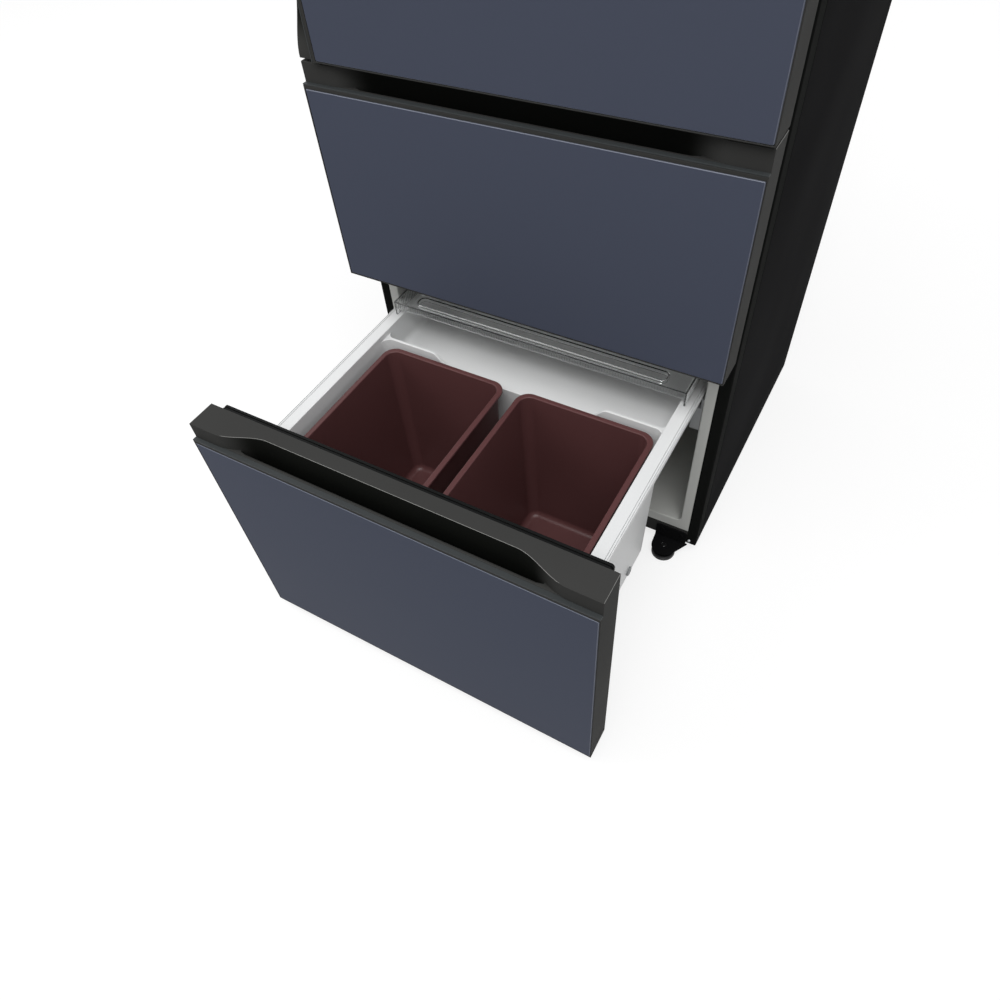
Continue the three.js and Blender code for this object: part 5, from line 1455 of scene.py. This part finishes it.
def build_drawers() -> None:
    """Make what the two drawers are made of and hold."""
    Basket("lower", 100, 435, -462.2, -148.5, 42.5, lean=7, tray=372).build()
    Basket("middle", 567, 794.5, -36.2, 468.5, 468.5).build()
    profile = [(0.01, 268), (9.4, 268), (9.4, 273.4), (8.4, 274.4), (4.5, 274.4), (3.8, 273.4), (0.01, 273.4)]
    stud = Piece.turned("basket_stop_right", "x", profile, (-237, 126), 40).shade(35)
    for piece in (stud, stud.mirrored("basket_stop_left")):
        piece.dress("lower_drawer", ACETAL)
    for side, x in (("left", (-262, -10)), ("right", (18, 270))):
        FoodTub("lower_container_" + side, x, (-456.5, -160.5), 103.3, 417).build()
    FoodTub("middle_container", (-250, 250), (52.5, 352.5), 570.3, 760.3).build()
    lid = Piece.copy_of("middle_container_lid", "middle_container_cover")
    lid.sink_faces(lambda c, n: n.z > 0.9 and c.z > 769, 16, 2.0)
    lid.soften(0.9, 3).shade().dress("middle_container_lid", POLISHED_PP, "middle_container_lid")
    SlidingCover().build()
    Rails("lower", 340.7, 411.7).build()
    Rails("middle", 700.2, 771.2).build()


# ---- Upper compartment and hinges -----------------------------------------------------------------------


def build_upper() -> None:
    """Make the shelves, the duct cover, the control panel and the hinges."""
    for name, z in (("shelf_upper", 1510), ("shelf_lower", 1210)):
        glass = Piece.prism(name + "_glass", "z", rounded((-303, 303), (100.7, 434), 6), z + 0.6, z + 5.4)
        glass.soften(0.6, 2).shade().dress(name, FLOAT_GLASS, name)
        trim = Piece.prism(name + "_trim", "x", rounded((92.5, 104.5), (z, z + 6), 1.6, 4), -306, 306)
        trim.carve(Piece.block("groove", (-303.2, 303.2), (100.5, 106), (z + 0.5, z + 5.5)))
        trim.shade().dress(name, MOULDED_PP)
    soft_copy("air_duct_cover", "duct_cover", 1.0, "cabinet", FORMED_LINING, 3)
    soft_copy("control_panel", "touch_panel", 0.8, "cabinet", BLACK_ABS)
    for number in range(5):
        x = -60 + 30 * number
        profile = [(3.4, 1790.3), (4.4, 1790.3), (4.4, 1791.5), (3.4, 1791.5)]
        dot = Piece.turned(f"touch_mark_{number + 1}", "z", profile, (x, 7.5), 32)
        dot.shade().dress("cabinet", ACETAL)
    soft_copy("top_hinge", "top_hinge_arm", 0.6, "cabinet", ZINC_PLATE)
    soft_copy("middle_hinge", "middle_hinge_arm", 0.3, "cabinet", ZINC_PLATE)
    soft_copy("top_hinge_cover", "hinge_cap", 0.6, "cabinet", BLACK_ABS, 3)


# ---- Studio ---------------------------------------------------------------------------------------------


@dataclass(frozen=True)
class PhotoCamera:
    """The camera at the photograph's viewing angle."""

    lens: float = 27.274
    place: tuple[float, float, float] = (0.518642, -0.996153, 1.323995)
    right: tuple[float, float, float] = (0.867265, 0.493438, -0.066101)
    up: tuple[float, float, float] = (-0.349498, 0.698004, 0.625013)
    back: tuple[float, float, float] = (0.354544, -0.51895, 0.77781)

    def build(self) -> None:
        """Make the scene's camera."""
        data = bpy.data.cameras.new("photo_camera")
        data.lens = self.lens
        data.sensor_width = 36
        camera = bpy.data.objects.new("photo_camera", data)
        bpy.context.scene.collection.objects.link(camera)
        turn = Matrix((self.right, self.up, self.back)).transposed().to_4x4()
        camera.matrix_world = Matrix.Translation(self.place) @ turn
        bpy.context.scene.camera = camera


@dataclass(frozen=True)
class Studio:
    """Plain pale floor, white surroundings and soft lamps."""

    sky: float = 0.56
    lamps: tuple[tuple[str, float, tuple[float, float, float], float], ...] = (
        ("key_lamp", 118.0, (0.7, -1.7, 4.3), 2.8), ("fill_lamp", 34.0, (-2.6, -1.2, 3.2), 2.4))
    aim: tuple[float, float, float] = (0.0, -0.2, 0.6)
    floor: str = "#949494"
    lift: float = 0.76

    def shown(self, tree: bpy.types.NodeTree) -> bpy.types.NodeSocket:
        """The rays that see the background: from the camera, in gloss and through clear pieces."""
        rays = add_node(tree, "LightPath").outputs
        some = add_node(tree, "Math", {"operation": "MAXIMUM"},
                        links={0: rays["Is Camera Ray"], 1: rays["Is Glossy Ray"]}).outputs[0]
        return add_node(tree, "Math", {"operation": "MAXIMUM"},
                        links={0: some, 1: rays["Is Transmission Ray"]}).outputs[0]

    def lamp(self, name: str, power: float, spot: tuple[float, float, float], size: float) -> None:
        """Hang one large soft lamp that points at the middle of the refrigerator."""
        data = bpy.data.lights.new(name, "AREA")
        data.energy = power
        data.size = size
        lamp = bpy.data.objects.new(name, data)
        bpy.context.scene.collection.objects.link(lamp)
        aim = Vector(self.aim) - Vector(spot)
        lamp.matrix_world = Matrix.Translation(spot) @ aim.to_track_quat("-Z", "Y").to_matrix().to_4x4()

    def build(self) -> None:
        """Make the world, the floor and the lamps."""
        scene = bpy.context.scene
        scene.view_settings.view_transform = "Standard"
        world = scene.world or bpy.data.worlds.new("studio")
        scene.world = world
        tree = fresh_tree(world)
        light, seen = (add_node(tree, "Background", values={"Color": WHITE, "Strength": strength})
                       for strength in (self.sky, 1.0))
        mixed = add_node(tree, "MixShader", links={0: self.shown(tree), 1: light.outputs[0],
                                                             2: seen.outputs[0]})
        add_node(tree, "OutputWorld", links={"Surface": mixed.outputs[0]})

        release()
        bpy.ops.mesh.primitive_circle_add(vertices=96, radius=14, fill_type="NGON")
        floor = bpy.context.active_object
        floor.name = "studio_floor"
        paint = bpy.data.materials.new("matt_studio_floor")
        tree = fresh_tree(paint)
        place_of = add_node(tree, "TexCoord").outputs["Object"]
        speck = add_node(tree, "TexNoise", values={"Scale": 2.0}, links={"Vector": place_of})
        rough = add_node(tree, "MapRange", values={"To Min": 0.8, "To Max": 1.0},
                         links={"Value": speck.outputs["Fac"]}).outputs["Result"]
        matt = add_node(tree, "BsdfDiffuse", values={"Color": linear(self.floor)},
                        links={"Roughness": rough})
        dark, glow = (add_node(tree, "Emission", values={"Color": WHITE, "Strength": strength})
                      for strength in (0.0, self.lift))
        lifted = add_node(tree, "MixShader", links={0: self.shown(tree), 1: dark.outputs[0],
                                                              2: glow.outputs[0]})
        both = add_node(tree, "AddShader", links={0: matt.outputs[0], 1: lifted.outputs[0]})
        add_node(tree, "OutputMaterial", links={"Surface": both.outputs[0]})
        floor.data.materials.append(paint)
        for name, power, spot, size in self.lamps:
            self.lamp(name, power, spot, size)


def main() -> None:
    """Build the refrigerator and its studio."""
    logging.basicConfig(level=logging.INFO, format="%(name)s: %(message)s")
    PhotoCamera().build()
    screw = Screw().build()
    Cabinet().build(screw)
    build_linings()
    build_fronts()
    build_drawers()
    Foot().build(screw)
    for side, sign in SIDES:
        Roller("rear_roller_" + side, (sign * 300, 502.5, 14), 14, 22).build()
    build_upper()
    bpy.data.objects.remove(screw.shape)
    Studio().build()
    release()


if __name__ == "__main__":
    main()
